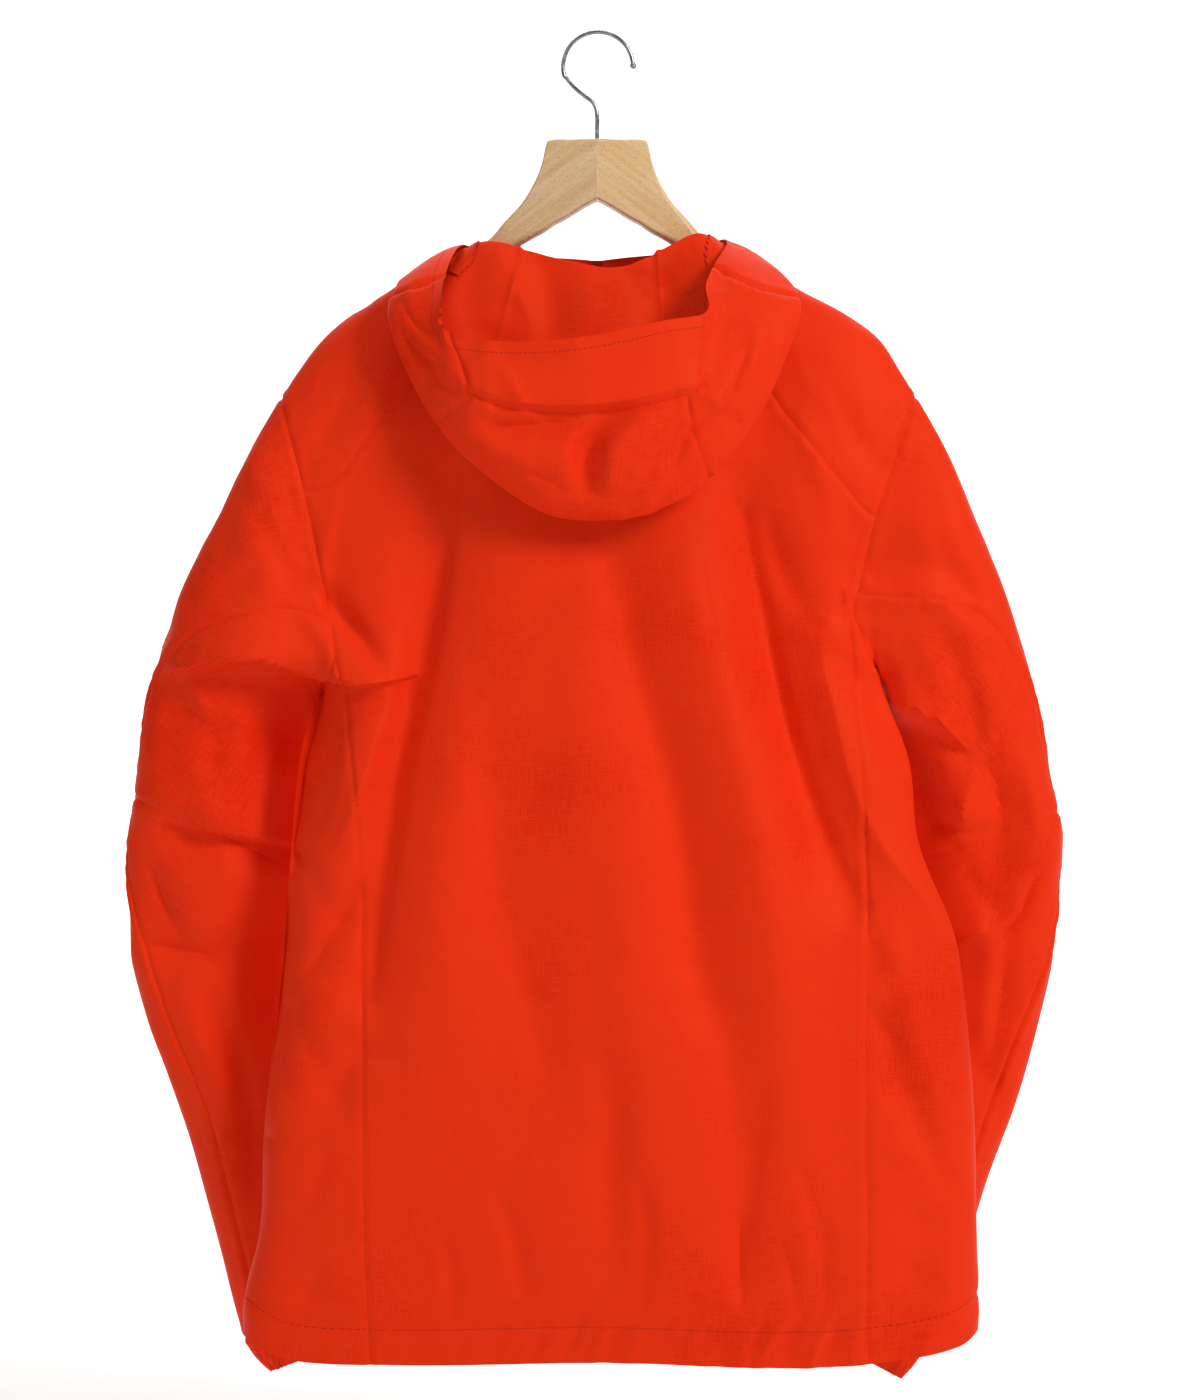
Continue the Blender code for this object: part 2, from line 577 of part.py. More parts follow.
def make_sleeve(skin, side, armhole):
    """Adds a sleeve and its cuff to the armhole's points, counted from the ridge over the back."""
    cells = len(armhole)
    seam_cell = YOKE_ROWS // 2 + ARMHOLE_ROWS - 1
    corner_cell = YOKE_ROWS // 2 + ARMHOLE_ROWS + SIDE_COLUMNS
    rings, facing = sleeve_rings(SLEEVES[side], cells, seam_cell, corner_cell)
    start = np.array(skin.points)[armhole]
    keys = np.array([start] + rings)
    facing = np.array([np.zeros(cells)] + list(facing))
    steps = (len(keys) - 1) * RING_ROWS
    at = np.arange(1, steps + 1) / RING_ROWS
    body = smooth(np.arange(len(keys)), keys.reshape(len(keys), -1), at).reshape(steps, cells, 3)
    turned = smooth(np.arange(len(keys)), facing, at)
    lines = [armhole]
    for row, (line, face) in enumerate(zip(body, turned)):
        fade = min(1.0, (steps - row) / PLAIN_ROWS)
        toward_back = np.clip(face, 0, 1) ** 0.6 * fade
        toward_front = np.clip(-face, 0, 1) ** 0.6 * fade
        lines.append(skin.add(folded(line, toward_back, toward_front)))
    cuffs, _ = sleeve_rings(CUFFS[side], cells, seam_cell, corner_cell)
    wave = np.where(np.arange(cells) % 2, 1, -1) * CUFF_GATHER_DEPTH
    for cuff in cuffs:
        middle = cuff.mean(axis=0)
        outward = cuff - middle
        outward /= np.linalg.norm(outward, axis=1)[:, None]
        lines.append(skin.add(cuff + outward * wave[:, None]))
    grid = np.array(lines)
    closed = np.concatenate([grid, grid[:, :1]], axis=1)
    if side == "left":
        closed = closed[:, ::-1]

    def panel(row, column):
        cell = cells - 1 - column if side == "left" else column
        if row >= steps:
            return "cuff_" + side
        if not seam_cell <= cell < corner_cell:
            return "sleeve_top_" + side
        return ("sleeve_back_upper_" if row < ELBOW_RING * RING_ROWS else "sleeve_back_lower_") + side

    skin.fill(closed, panel)


def make_hood(skin, neck):
    """Adds the hood to the neck seam's points, counted from the front over the left shoulder."""
    cells = len(neck)
    start = np.array(skin.points)[neck]
    keys = [start]
    for rows in HOOD_LINES.values():
        line = table(HOOD_COLUMNS, *rows)
        keys.append(smooth(line["at"], points_of(line), np.arange(cells)))
    # The zip's two edges stand a zip's width apart up to the collar's top.
    for key in keys[1:]:
        key[0, 0], key[-1, 0] = -ZIP_HALF, ZIP_HALF
        key[0, 1:] = key[-1, 1:] = (key[0, 1:] + key[-1, 1:]) / 2
    keys = np.array(keys)
    steps = (len(keys) - 1) * HOOD_ROWS
    at = np.arange(1, steps + 1) / HOOD_ROWS
    lines = smooth(np.arange(len(keys)), keys.reshape(len(keys), -1), at).reshape(steps, cells, 3)
    near = np.interp(np.arange(cells), [9, 13, 23, 27], [0, 1, 1, 0])
    rows = [neck]
    for row, line in enumerate(lines, start=1):
        on_near_wall = np.interp(row, [7, 9, steps - 2, steps], [0, 1, 0.6, 0])
        line[:, 1] -= near * on_near_wall * fold_height(HOOD_FOLDS, line[:, 0], -line[:, 2])
        rows.append(skin.add(line))
    grid = np.array(rows)
    closed = np.concatenate([grid, grid[:, :1]], axis=1)
    visor_row = VISOR_LINE * HOOD_ROWS

    def panel(row, column):
        if column == cells - 1:
            return "zip_tape"
        if not COLLAR_COLUMNS[0] <= column < COLLAR_COLUMNS[1]:
            return "collar_left" if column < NAPE_CENTRE else "collar_right"
        if row >= visor_row and VISOR_COLUMNS[0] <= column < VISOR_COLUMNS[1]:
            return "hood_visor"
        if CROWN_COLUMNS[0] <= column < CROWN_COLUMNS[1]:
            return "hood_crown"
        return "hood_side_left" if column < NAPE_CENTRE else "hood_side_right"

    skin.fill(closed, panel)


def skin_normals(points, cells):
    normals = np.zeros_like(points)
    a, b, c, d = (points[cells[:, i]] for i in range(4))
    flat = np.cross(c - a, d - b)
    for i in range(4):
        np.add.at(normals, cells[:, i], flat)
    return normals / np.maximum(np.linalg.norm(normals, axis=1), 1e-12)[:, None]


def panel_wall(name, points, normals, cells, thick, slot):
    """Makes one panel: its cells' outer face, an inner face a wall deeper, and the edge between,
    with the edge drawn back from the seam by half the gap."""
    used, local = np.unique(cells, return_inverse=True)
    faces = local.reshape(cells.shape)
    outer = points[used].copy()
    up = normals[used]
    edges = {}
    for face in faces:
        for i in range(4):
            a, b = int(face[i]), int(face[(i + 1) % 4])
            if (b, a) in edges:
                del edges[b, a]
            else:
                edges[a, b] = True
    pull = np.zeros_like(outer)
    for a, b in edges:
        ahead = outer[b] - outer[a]
        inward = np.cross((up[a] + up[b]) / 2, ahead)
        inward /= max(np.linalg.norm(inward), 1e-12)
        for end in (a, b):
            pull[end] += inward
    size = np.linalg.norm(pull, axis=1)
    on_edge = size > 1e-9
    # Two edges that meet at an angle pull their corner along the mitre.
    stretch = np.minimum(2 / np.maximum(size, 1e-9), 1.6)
    outer[on_edge] += (pull[on_edge] / size[on_edge][:, None]) * (SEAM_GAP / 2 * stretch[on_edge])[:, None]
    inner = outer - up * thick
    vertices = np.concatenate([outer, inner])
    count = len(outer)
    polygons = [tuple(int(i) for i in face) for face in faces]
    polygons += [tuple(int(i) + count for i in face[::-1]) for face in faces]
    polygons += [(b, a, a + count, b + count) for a, b in edges]
    return make_object(name, vertices, polygons, slot)


def material(slot):
    found = bpy.data.materials.get(slot)
    if found:
        return found
    made = bpy.data.materials.new(slot)
    made.use_nodes = True
    colour, roughness, metallic = COLOURS[slot]
    shader = made.node_tree.nodes["Principled BSDF"]
    shader.inputs["Base Color"].default_value = colour
    shader.inputs["Roughness"].default_value = roughness
    shader.inputs["Metallic"].default_value = metallic
    return made


def make_object(name, vertices, polygons, slot):
    mesh = bpy.data.meshes.new(name)
    mesh.from_pydata([tuple(v) for v in vertices], [], polygons)
    mesh.validate()
    made = bpy.data.objects.new(name, mesh)
    made.data.materials.append(material(slot))
    bpy.context.scene.collection.objects.link(made)
    shape = bmesh.new()
    shape.from_mesh(mesh)
    bmesh.ops.triangulate(shape, faces=shape.faces[:])
    shape.to_mesh(mesh)
    shape.free()
    mesh.shade_smooth()
    mesh.set_sharp_from_angle(angle=math.radians(40))
    return made


def make_jacket():
    skin = Skin()
    grid, back_grid, front_grid = make_body(skin)
    back, front = body_columns()
    y = YOKE_COLUMNS
    left = make_yoke(skin, "left", back_grid[-1][: y + 1], front_grid[-1][::-1][: y + 1])
    right = make_yoke(skin, "right", back_grid[-1][::-1][: y + 1], front_grid[-1][: y + 1])
    half = YOKE_ROWS // 2
    side_left = grid[-1][back + SIDE_COLUMNS + front :]
    side_right = grid[-1][back : back + SIDE_COLUMNS + 1]
    armholes = (
        ("left", left, back_grid[:, 0], side_left[:0:-1], front_grid[:, -1]),
        ("right", right, back_grid[:, -1], side_right[:-1], front_grid[:, 0]),
    )
    for side, yoke, down_back, under_arm, up_front in armholes:
        # From the ridge down the back, under the arm and up the front.
        armhole = [yoke[half:0:-1, 0], down_back[:0:-1], under_arm, up_front[:-1], yoke[:half:-1, 0]]
        make_sleeve(skin, side, np.concatenate(armhole))
    # The neck from the front's left zip edge over the left shoulder, the nape and the right.
    front_neck = front_grid[-1][y : -y]
    f = FRONT_NECK_COLUMNS
    neck = np.concatenate([
        front_neck[f + 1 :],
        left[-2:0:-1, -1],
        back_grid[-1][y : -y],
        right[1:-1, -1],
        front_neck[: f + 1],
    ])
    make_hood(skin, neck)

    points = np.array(skin.points) * MM
    cells = np.array(skin.cells)
    panels = np.array(skin.panels)
    normals = skin_normals(points, cells)
    for name in sorted(set(panels)):
        slot = "zip" if name == "zip_tape" else "shell"
        panel_wall(name, points, normals, cells[panels == name], CLOTH, slot)


def tube_of(name, sections, slot):
    """A closed solid through rings of equal length, with flat ends."""
    rings, sides = len(sections), len(sections[0])
    vertices = np.concatenate(sections)
    polygons = []
    for i in range(rings - 1):
        for j in range(sides):
            k = (j + 1) % sides
            polygons.append((i * sides + j, i * sides + k, (i + 1) * sides + k, (i + 1) * sides + j))
    polygons.append(tuple(range(sides))[::-1])
    polygons.append(tuple(range((rings - 1) * sides, rings * sides)))
    return make_object(name, vertices, polygons, slot)


def rounded_section(low, high, thick, corner):
    """A hanger's section between its lower and upper edge, with rounded corners, as a ring."""
    low, high = np.asarray(low, float), np.asarray(high, float)
    middle, half = (low + high) / 2, np.linalg.norm(high - low) / 2
    up = (high - low) / (2 * half)
    ring = []
    for quarter in range(4):
        for step in range(CORNER_STEPS + 1):
            turn = math.radians(90 * (quarter + step / CORNER_STEPS))
            side = math.copysign(1, math.cos(math.radians(90 * quarter + 45)))
            top = math.copysign(1, math.sin(math.radians(90 * quarter + 45)))
            deep = side * (thick / 2 - corner) + corner * math.cos(turn)
            rise = top * (half - corner) + corner * math.sin(turn)
            spot = middle + up * rise
            ring.append((spot[0], deep, spot[1]))
    return np.array(ring)


def ridge_drop(side, x):
    ridge = RIDGE_LEFT if side == "left" else RIDGE_RIGHT
    order = np.argsort(ridge["x"])
    return float(smooth(ridge["x"][order], ridge["drop"][order], x))


def make_hanger(side):
    """One half of the hanger: the neck block's sections, then the arm just under the cloth."""
    sign = -1 if side == "left" else 1
    thick = HANGER_THICK / MM
    sections = []
    for i in range(len(HANGER_NECK["top_x"])):
        row = {key: values[i] for key, values in HANGER_NECK.items()}
        high = (-sign * row["top_x"], -row["top_drop"])
        low = (-sign * row["bottom_x"], -row["bottom_drop"])
        sections.append(rounded_section(low, high, thick, row["round"]))
    for place, clear, deep, wide in zip(*ARM.values()):
        x = -sign * place
        run = np.array([1.0, -(ridge_drop(side, x + 1) - ridge_drop(side, x - 1)) / 2])
        run /= np.linalg.norm(run)
        under = np.array([run[1], -run[0]])
        top = np.array([x, -ridge_drop(side, x)]) + ((CLOTH + SEAM_GAP) / MM + clear) * under
        low = top + deep * under
        sections.append(rounded_section(low, top, wide, min(wide, deep) / 2 - ARM_FLAT / 2))
    rings = np.array(sections) * MM
    if side == "left":
        rings = rings[:, ::-1]
    return tube_of("hanger_" + side, rings, "wood")


def make_hook():
    """The wire: up from the block, a slanted run, and the round hook with a ball at its tip."""
    centre = np.array(HOOK_CENTRE)
    turns = np.radians(np.linspace(HOOK_START, HOOK_STOP, HOOK_STEPS))
    arc = [centre + HOOK_RADIUS * np.array([math.cos(t), math.sin(t)]) for t in turns]
    path = [np.array(p) for p in HOOK_STEM] + arc
    rings = []
    for i, spot in enumerate(path):
        ahead = path[min(i + 1, len(path) - 1)] - path[max(i - 1, 0)]
        ahead /= np.linalg.norm(ahead)
        across = np.array([ahead[1], -ahead[0]])
        rings.append(wire_ring(spot, across, WIRE / MM / 2))
    tip, ahead = path[-1], path[-1] - path[-2]
    ahead /= np.linalg.norm(ahead)
    across = np.array([ahead[1], -ahead[0]])
    for turn in np.radians((130, 95, 60, 25)):
        middle = tip + ahead * HOOK_BALL / 2 * (1 + math.cos(turn))
        rings.append(wire_ring(middle, across, HOOK_BALL / 2 * math.sin(turn)))
    rings = np.array(rings) * MM
    return tube_of("hanger_hook", rings, "chrome")


def wire_ring(spot, across, radius):
    ring = []
    for step in range(WIRE_SIDES):
        turn = 2 * math.pi * step / WIRE_SIDES
        flat = spot + across * radius * math.cos(turn)
        ring.append((flat[0], radius * math.sin(turn), flat[1]))
    return np.array(ring)


def box_of(name, centre, size, slot, bevel=0.3):
    """A block with bevelled edges."""
    shape = bmesh.new()
    bmesh.ops.create_cube(shape, size=1)
    bmesh.ops.scale(shape, verts=shape.verts[:], vec=[s * MM for s in size])
    bmesh.ops.bevel(shape, geom=shape.edges[:], offset=bevel * MM, segments=1, affect="EDGES")
    bmesh.ops.translate(shape, verts=shape.verts[:], vec=[c * MM for c in centre])
    vertices = [tuple(v.co) for v in shape.verts]
    polygons = [tuple(v.index for v in f.verts) for f in shape.faces]
    shape.free()
    return make_object(name, vertices, polygons, slot)


def make_zip():
    """The slider at the top of the closed zip, and the pull tab that hangs from its bail."""
    x, depth, drop = SLIDER_AT
    box_of("zip_slider", (x, depth, -drop), SLIDER_SIZE, "chrome", 0.8)
    width, thick, length = PULL_SIZE
    pull_depth = depth + SLIDER_SIZE[1] / 2 + thick / 2 + SEAM_GAP / MM
    box_of("zip_pull", (x, pull_depth, -drop - length / 2 + 2), PULL_SIZE, "chrome", 0.4)


def main():
    for old in list(bpy.data.objects):
        bpy.data.objects.remove(old)
    make_jacket()
    for side in ("left", "right"):
        make_hanger(side)
    make_hook()
    make_zip()


main()
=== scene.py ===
import json
import math

import bmesh
import bpy
import numpy as np
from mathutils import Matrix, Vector
from mathutils.kdtree import KDTree

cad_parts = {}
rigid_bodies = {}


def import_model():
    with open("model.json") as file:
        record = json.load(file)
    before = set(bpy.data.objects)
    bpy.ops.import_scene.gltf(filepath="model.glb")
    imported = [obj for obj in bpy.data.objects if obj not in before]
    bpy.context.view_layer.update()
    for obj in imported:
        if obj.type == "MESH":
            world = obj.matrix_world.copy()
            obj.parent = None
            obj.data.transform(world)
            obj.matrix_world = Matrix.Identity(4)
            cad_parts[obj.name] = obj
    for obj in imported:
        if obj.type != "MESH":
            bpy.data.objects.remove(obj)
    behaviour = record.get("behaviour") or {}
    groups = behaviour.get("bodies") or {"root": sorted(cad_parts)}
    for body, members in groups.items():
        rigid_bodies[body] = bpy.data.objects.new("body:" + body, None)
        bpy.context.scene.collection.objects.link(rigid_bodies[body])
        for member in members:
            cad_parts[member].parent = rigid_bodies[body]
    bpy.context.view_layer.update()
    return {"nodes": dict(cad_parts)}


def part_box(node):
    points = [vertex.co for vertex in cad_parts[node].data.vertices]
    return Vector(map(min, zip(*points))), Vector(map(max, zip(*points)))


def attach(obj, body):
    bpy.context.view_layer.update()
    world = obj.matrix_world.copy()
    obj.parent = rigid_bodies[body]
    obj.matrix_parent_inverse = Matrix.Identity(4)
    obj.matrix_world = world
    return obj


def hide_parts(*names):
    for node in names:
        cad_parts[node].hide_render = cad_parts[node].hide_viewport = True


mm = 0.001
for startup in list(bpy.data.objects):
    bpy.data.objects.remove(startup)
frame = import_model()
print("frame loaded:", len(frame["nodes"]), "nodes")


def linear(hexColour):
    # sRGB hex to the linear colour that the shader takes
    parts = [int(hexColour[i : i + 2], 16) / 255 for i in (1, 3, 5)]
    return [c / 12.92 if c <= 0.04045 else ((c + 0.055) / 1.055) ** 2.4 for c in parts] + [1.0]


def feed(tree, node, links):
    # a link starts at a socket, or at a node's first output
    for name, source in links.items():
        start = source.outputs[0] if isinstance(source, bpy.types.Node) else source
        tree.links.new(start, node.inputs[name])


def addNode(tree, kind, settings=None, links=None, stops=()):
    # settings go to a socket of that name or number, or else to the node itself; stops are a
    # colour ramp's places and colours
    made = tree.nodes.new("ShaderNode" + kind)
    for name, value in (settings or {}).items():
        if isinstance(name, int) or name in made.inputs:
            made.inputs[name].default_value = value
        else:
            setattr(made, name, value)
    for i, (place, colour) in enumerate(stops):
        spots = made.color_ramp.elements
        spot = spots[i] if i < len(spots) else spots.new(place)
        spot.position = place
        spot.color = linear(colour)
    feed(tree, made, links or {})
    return made


def fromTo(low, high, toLow, toHigh):
    return {"From Min": low, "From Max": high, "To Min": toLow, "To Max": toHigh}


def startMaterial(name, settings):
    made = bpy.data.materials.new(name)
    made.use_nodes = True
    tree = made.node_tree
    shader = tree.nodes["Principled BSDF"]
    for socket, value in settings.items():
        shader.inputs[socket].default_value = value
    return made, tree, shader


def meshObject(name, points, faces, material, body="jacket", uvs=None):
    mesh = bpy.data.meshes.new(name)
    mesh.from_pydata([tuple(p) for p in points], [], [tuple(int(i) for i in f) for f in faces])
    if uvs is not None:
        layer = mesh.uv_layers.new(name="cloth")
        layer.data.foreach_set("uv", np.asarray(uvs, np.float32).ravel())
    mesh.materials.append(material)
    mesh.shade_smooth()
    made = bpy.data.objects.new(name, mesh)
    bpy.context.scene.collection.objects.link(made)
    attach(made, body)
    return made


def ripstopNylon():
    # Thin woven nylon, dyed orange-red, with a ripstop grid: semi-matte, with a soft wide gloss
    # and fine threads. The dye is deep, so hollows go to pure red.
    look = {
        "dye": "#EE3414",
        "dyeDeep": "#E4280C",
        "thread": 0.9 * mm,  # real threads are 0.2 mm, drawn coarser so that they show
        "grid": 2.6 * mm,  # ripstop grid
        "gridSharp": 7.0,  # how narrow the grid's thicker threads are
        "slub": 14 * mm,  # length of a slightly thicker stretch of thread
        "threadBump": 0.16,
        "gridBump": 0.10,
        "crumple": 30 * mm,
        "crumpleBump": 0.5,
        "patches": 9.0,  # slow changes of the dye, to the metre
        "slubDye": 0.55,  # how much a slub shows in the dye
    }
    made, tree, shader = startMaterial("ripstop nylon", {
        "Roughness": 0.5,
        "IOR": 1.53,
        "Specular IOR Level": 0.08,
        "Specular Tint": linear("#FFD080"),
        "Sheen Weight": 0.16,
        "Sheen Roughness": 0.4,
        "Sheen Tint": linear("#FF8A40"),
    })
    place = addNode(tree, "TexCoord").outputs["Object"]
    cloth = addNode(tree, "UVMap", {"uv_map": "cloth"})
    split = addNode(tree, "SeparateXYZ", links={0: cloth})

    def slubsOf(acrossStep, alongStep):
        # thicker and thinner stretches along the threads of one direction
        steps = {"operation": "MULTIPLY", 1: (1 / acrossStep, 1 / alongStep, 0)}
        scaled = addNode(tree, "VectorMath", steps, {0: cloth})
        return addNode(tree, "TexNoise", {"Scale": 1.0, "Detail": 2}, {"Vector": scaled})

    def gridThreads(axis):
        # the grid's thicker threads across one axis, as narrow crests
        step = {"operation": "MULTIPLY", 1: 2 * math.pi / look["grid"]}
        turns = addNode(tree, "Math", step, {0: split.outputs[axis]})
        wave = addNode(tree, "Math", {"operation": "COSINE"}, {0: turns})
        lifted = addNode(tree, "Math", {"operation": "MULTIPLY_ADD", 1: 0.5, 2: 0.5}, {0: wave})
        return addNode(tree, "Math", {"operation": "POWER", 1: look["gridSharp"]}, {0: lifted})

    warp, weft = slubsOf(look["thread"], look["slub"]), slubsOf(look["slub"], look["thread"])
    slubs = addNode(tree, "Math", {"operation": "ADD"}, {0: warp, 1: weft})
    grid = addNode(tree, "Math", {"operation": "MAXIMUM"}, {0: gridThreads("X"), 1: gridThreads("Y")})
    crumple = addNode(tree, "TexNoise", {
        "noise_type": "RIDGED_MULTIFRACTAL",
        "Scale": 1 / look["crumple"],
        "Detail": 2,
        "Roughness": 0.4,
    }, {"Vector": place})
    patches = addNode(tree, "TexNoise", {"Scale": look["patches"], "Detail": 2}, {"Vector": place})
    share = {"operation": "MULTIPLY_ADD", 1: look["slubDye"]}
    mixed = addNode(tree, "Math", share, {0: slubs, 2: patches})
    dyes = [(0.72, look["dyeDeep"]), (1.0, look["dye"])]
    height = addNode(
        tree, "Bump", {"Strength": look["crumpleBump"], "Distance": 3.0 * mm}, {"Height": crumple})
    height = addNode(
        tree, "Bump", {"Strength": look["threadBump"], "Distance": 0.5 * mm},
        {"Height": slubs, "Normal": height})
    height = addNode(
        tree, "Bump", {"Strength": look["gridBump"], "Distance": 0.4 * mm},
        {"Height": grid, "Normal": height})
    feed(tree, shader, {
        "Base Color": addNode(tree, "ValToRGB", links={0: mixed}, stops=dyes),
        "Roughness": addNode(tree, "MapRange", fromTo(0.7, 1.3, 0.46, 0.56), {0: slubs}),
        "Normal": height,
    })
    return made


def sewingThread():
    # Spun polyester thread in the cloth's own colour, matt beside the nylon
    made, tree, shader = startMaterial(
        "sewing thread", {"Roughness": 0.75, "IOR": 1.5, "Specular IOR Level": 0.3})
    place = addNode(tree, "TexCoord").outputs["Object"]
    twist = addNode(tree, "TexNoise", {"Scale": 900.0, "Detail": 2}, {"Vector": place})
    dyes = [(0.3, "#A81804"), (0.7, "#C4280C")]
    feed(tree, shader, {"Base Color": addNode(tree, "ValToRGB", links={0: twist}, stops=dyes)})
    return made


def zipTapeWeave():
    # Twill polyester tape, a little redder and more matt than the shell
    made, tree, shader = startMaterial(
        "zip tape", {"Roughness": 0.7, "IOR": 1.5, "Specular IOR Level": 0.15})
    cloth = addNode(tree, "UVMap", {"uv_map": "cloth"})
    turned = addNode(tree, "Mapping", {"Rotation": (0, 0, math.radians(35))}, {"Vector": cloth})
    rib = {"Scale": 1 / (9 * mm), "Distortion": 0.6, "Detail": 1.0}
    twill = addNode(tree, "TexWave", rib, {"Vector": turned}).outputs["Fac"]
    dyes = [(0.2, "#A81C08"), (0.8, "#CC2C10")]
    feed(tree, shader, {
        "Base Color": addNode(tree, "ValToRGB", links={0: twill}, stops=dyes),
        "Normal": addNode(tree, "Bump", {"Strength": 0.3, "Distance": 0.2 * mm}, {"Height": twill}),
    })
    return made


def coilNylon():
    # Coil teeth of drawn nylon monofilament: smooth plastic, dyed with the tape
    made, tree, shader = startMaterial("coil teeth", {"Roughness": 0.32, "IOR": 1.53})
    place = addNode(tree, "TexCoord").outputs["Object"]
    dye = addNode(tree, "TexNoise", {"Scale": 300.0, "Detail": 1}, {"Vector": place})
    dyes = [(0.35, "#B4200A"), (0.65, "#CC3014")]
    feed(tree, shader, {"Base Color": addNode(tree, "ValToRGB", links={0: dye}, stops=dyes)})
    return made


def castZinc():
    # Die-cast zinc with a dull nickel plate: a soft metal gloss, a little brighter or darker in small
    # random patches
    made, tree, shader = startMaterial("plated zinc", {"Metallic": 1.0})
    place = addNode(tree, "TexCoord").outputs["Object"]
    worn = addNode(tree, "TexNoise", {"Scale": 420.0, "Detail": 4}, {"Vector": place})
    plate = [(0.3, "#8E8C88"), (0.7, "#B4B2AE")]
    feed(tree, shader, {
        "Base Color": addNode(tree, "ValToRGB", links={0: worn}, stops=plate),
        "Roughness": addNode(tree, "MapRange", fromTo(0.3, 0.7, 0.24, 0.4), {0: worn}),
    })
    return made


def chromedSteel():
    # Bright drawn wire, chromed: mirror-like, smeared a little by handling
    made, tree, shader = startMaterial("chromed wire", {"Metallic": 1.0})
    place = addNode(tree, "TexCoord").outputs["Object"]
    smear = addNode(tree, "TexNoise", {"Scale": 160.0, "Detail": 3}, {"Vector": place})
    plate = [(0.3, "#8C8E92"), (0.7, "#B6B8BB")]
    feed(tree, shader, {
        "Base Color": addNode(tree, "ValToRGB", links={0: smear}, stops=plate),
        "Roughness": addNode(tree, "MapRange", fromTo(0.3, 0.7, 0.2, 0.32), {0: smear}),
    })
    return made


def beech(name, look):
    # Steamed beech, planed and sanded, under a thin satin lacquer: growth bands along the arm,
    # short dark pores, and small ray flecks. The grain coordinates are metres along and across.
    made, tree, shader = startMaterial(
        name, {"IOR": 1.52, "Coat Weight": 0.12, "Coat Roughness": 0.35})
    grain = addNode(tree, "UVMap", {"uv_map": "cloth"})

    def grainOf(along, across, detail, shift=0.0):
        # marks of this length and width, in another place for each shift
        steps = {"operation": "MULTIPLY_ADD", 1: (1 / along, 1 / across, 0), 2: (shift, shift, 0)}
        scaled = addNode(tree, "VectorMath", steps, {0: grain})
        return addNode(tree, "TexNoise", {"Scale": 1.0, "Detail": detail}, {"Vector": scaled})

    bands = grainOf(120 * mm, 5.5 * mm, 3, look["shift"])
    streaks = grainOf(34 * mm, 0.9 * mm, 2, look["shift"] + 3)
    pores = grainOf(3.2 * mm, 0.35 * mm, 1, 7)
    flecks = grainOf(1.8 * mm, 0.7 * mm, 0, 11)
    tone = addNode(tree, "Math", {"operation": "MULTIPLY_ADD", 1: 0.45}, {0: streaks, 2: bands})
    mixed = addNode(tree, "ValToRGB", links={0: tone}, stops=[
        (0.52, look["dark"]), (0.70, look["middle"]), (0.95, look["pale"])])
    poreMask = addNode(tree, "ValToRGB", links={0: pores}, stops=[(0.60, "#000000"), (0.74, "#FFFFFF")])
    fleckMask = addNode(tree, "MapRange", fromTo(0.62, 0.78, 0, 0.55), {0: flecks})
    for mark, mask in (("pore", poreMask), ("fleck", fleckMask)):
        colours = {"data_type": "RGBA", "blend_type": "MIX", 7: linear(look[mark])}
        mixed = addNode(tree, "Mix", colours, {0: mask, 6: mixed}).outputs[2]
    hollow = {"Strength": 0.25, "Distance": 0.15 * mm, "invert": True}
    feed(tree, shader, {
        "Base Color": mixed,
        "Roughness": addNode(tree, "MapRange", fromTo(0.3, 0.7, 0.36, 0.5), {0: streaks}),
        "Normal": addNode(tree, "Bump", hollow, {"Height": poreMask}),
    })
    return made


shell = ripstopNylon()
thread = sewingThread()
tapeWeave = zipTapeWeave()
teethPlastic = coilNylon()
zinc = castZinc()
chrome = chromedSteel()
# One beech for both halves, in two copies: the right half's colours are painted lighter, as painted
# light, and the left half's darker, as painted shade.
beechLeftPaintedShade = beech("beech left painted shade", {
    "dark": "#CFA672", "middle": "#D9B484", "pale": "#E2C299", "pore": "#9C7246", "fleck": "#E6CDA6",
    "shift": 0.0})
beechRightPaintedLight = beech("beech right painted light", {
    "dark": "#DDAF74", "middle": "#E6BD86", "pale": "#F0CD9C", "pore": "#A87A48", "fleck": "#F0D8B0",
    "shift": 5.3})
print("materials made")

# The skin that the solids are cut from: its rings, seams and hood lines in millimetres. x is
# across, drop is below the hook's crest, and depth runs along Y, away from the camera.
yokeColumns, yokeRows, napeColumns, frontNeckColumns = 7, 8, 12, 4
sideColumns, rowsBelowArm, rowsBesideArm = 6, 16, 5
ringRows = 2  # rows of cells between two rings of a sleeve
linesBetween = 2  # rows of cells between two lines of the hood
zipHalf = 3.8  # half the zip's width between the fronts
sectionPower = 2.3  # 2 is an ellipse, more is boxier
hemDrop, hemEdgeDrop = 937, 920  # the body's last row, and where its side edges are read there
waistDrop = 600


def readTable(columns, *rows):
    # Rows of numbers under named columns, as one array for each column.
    numbers = np.array(rows, float)
    return {name: numbers[:, i] for i, name in enumerate(columns.split())}


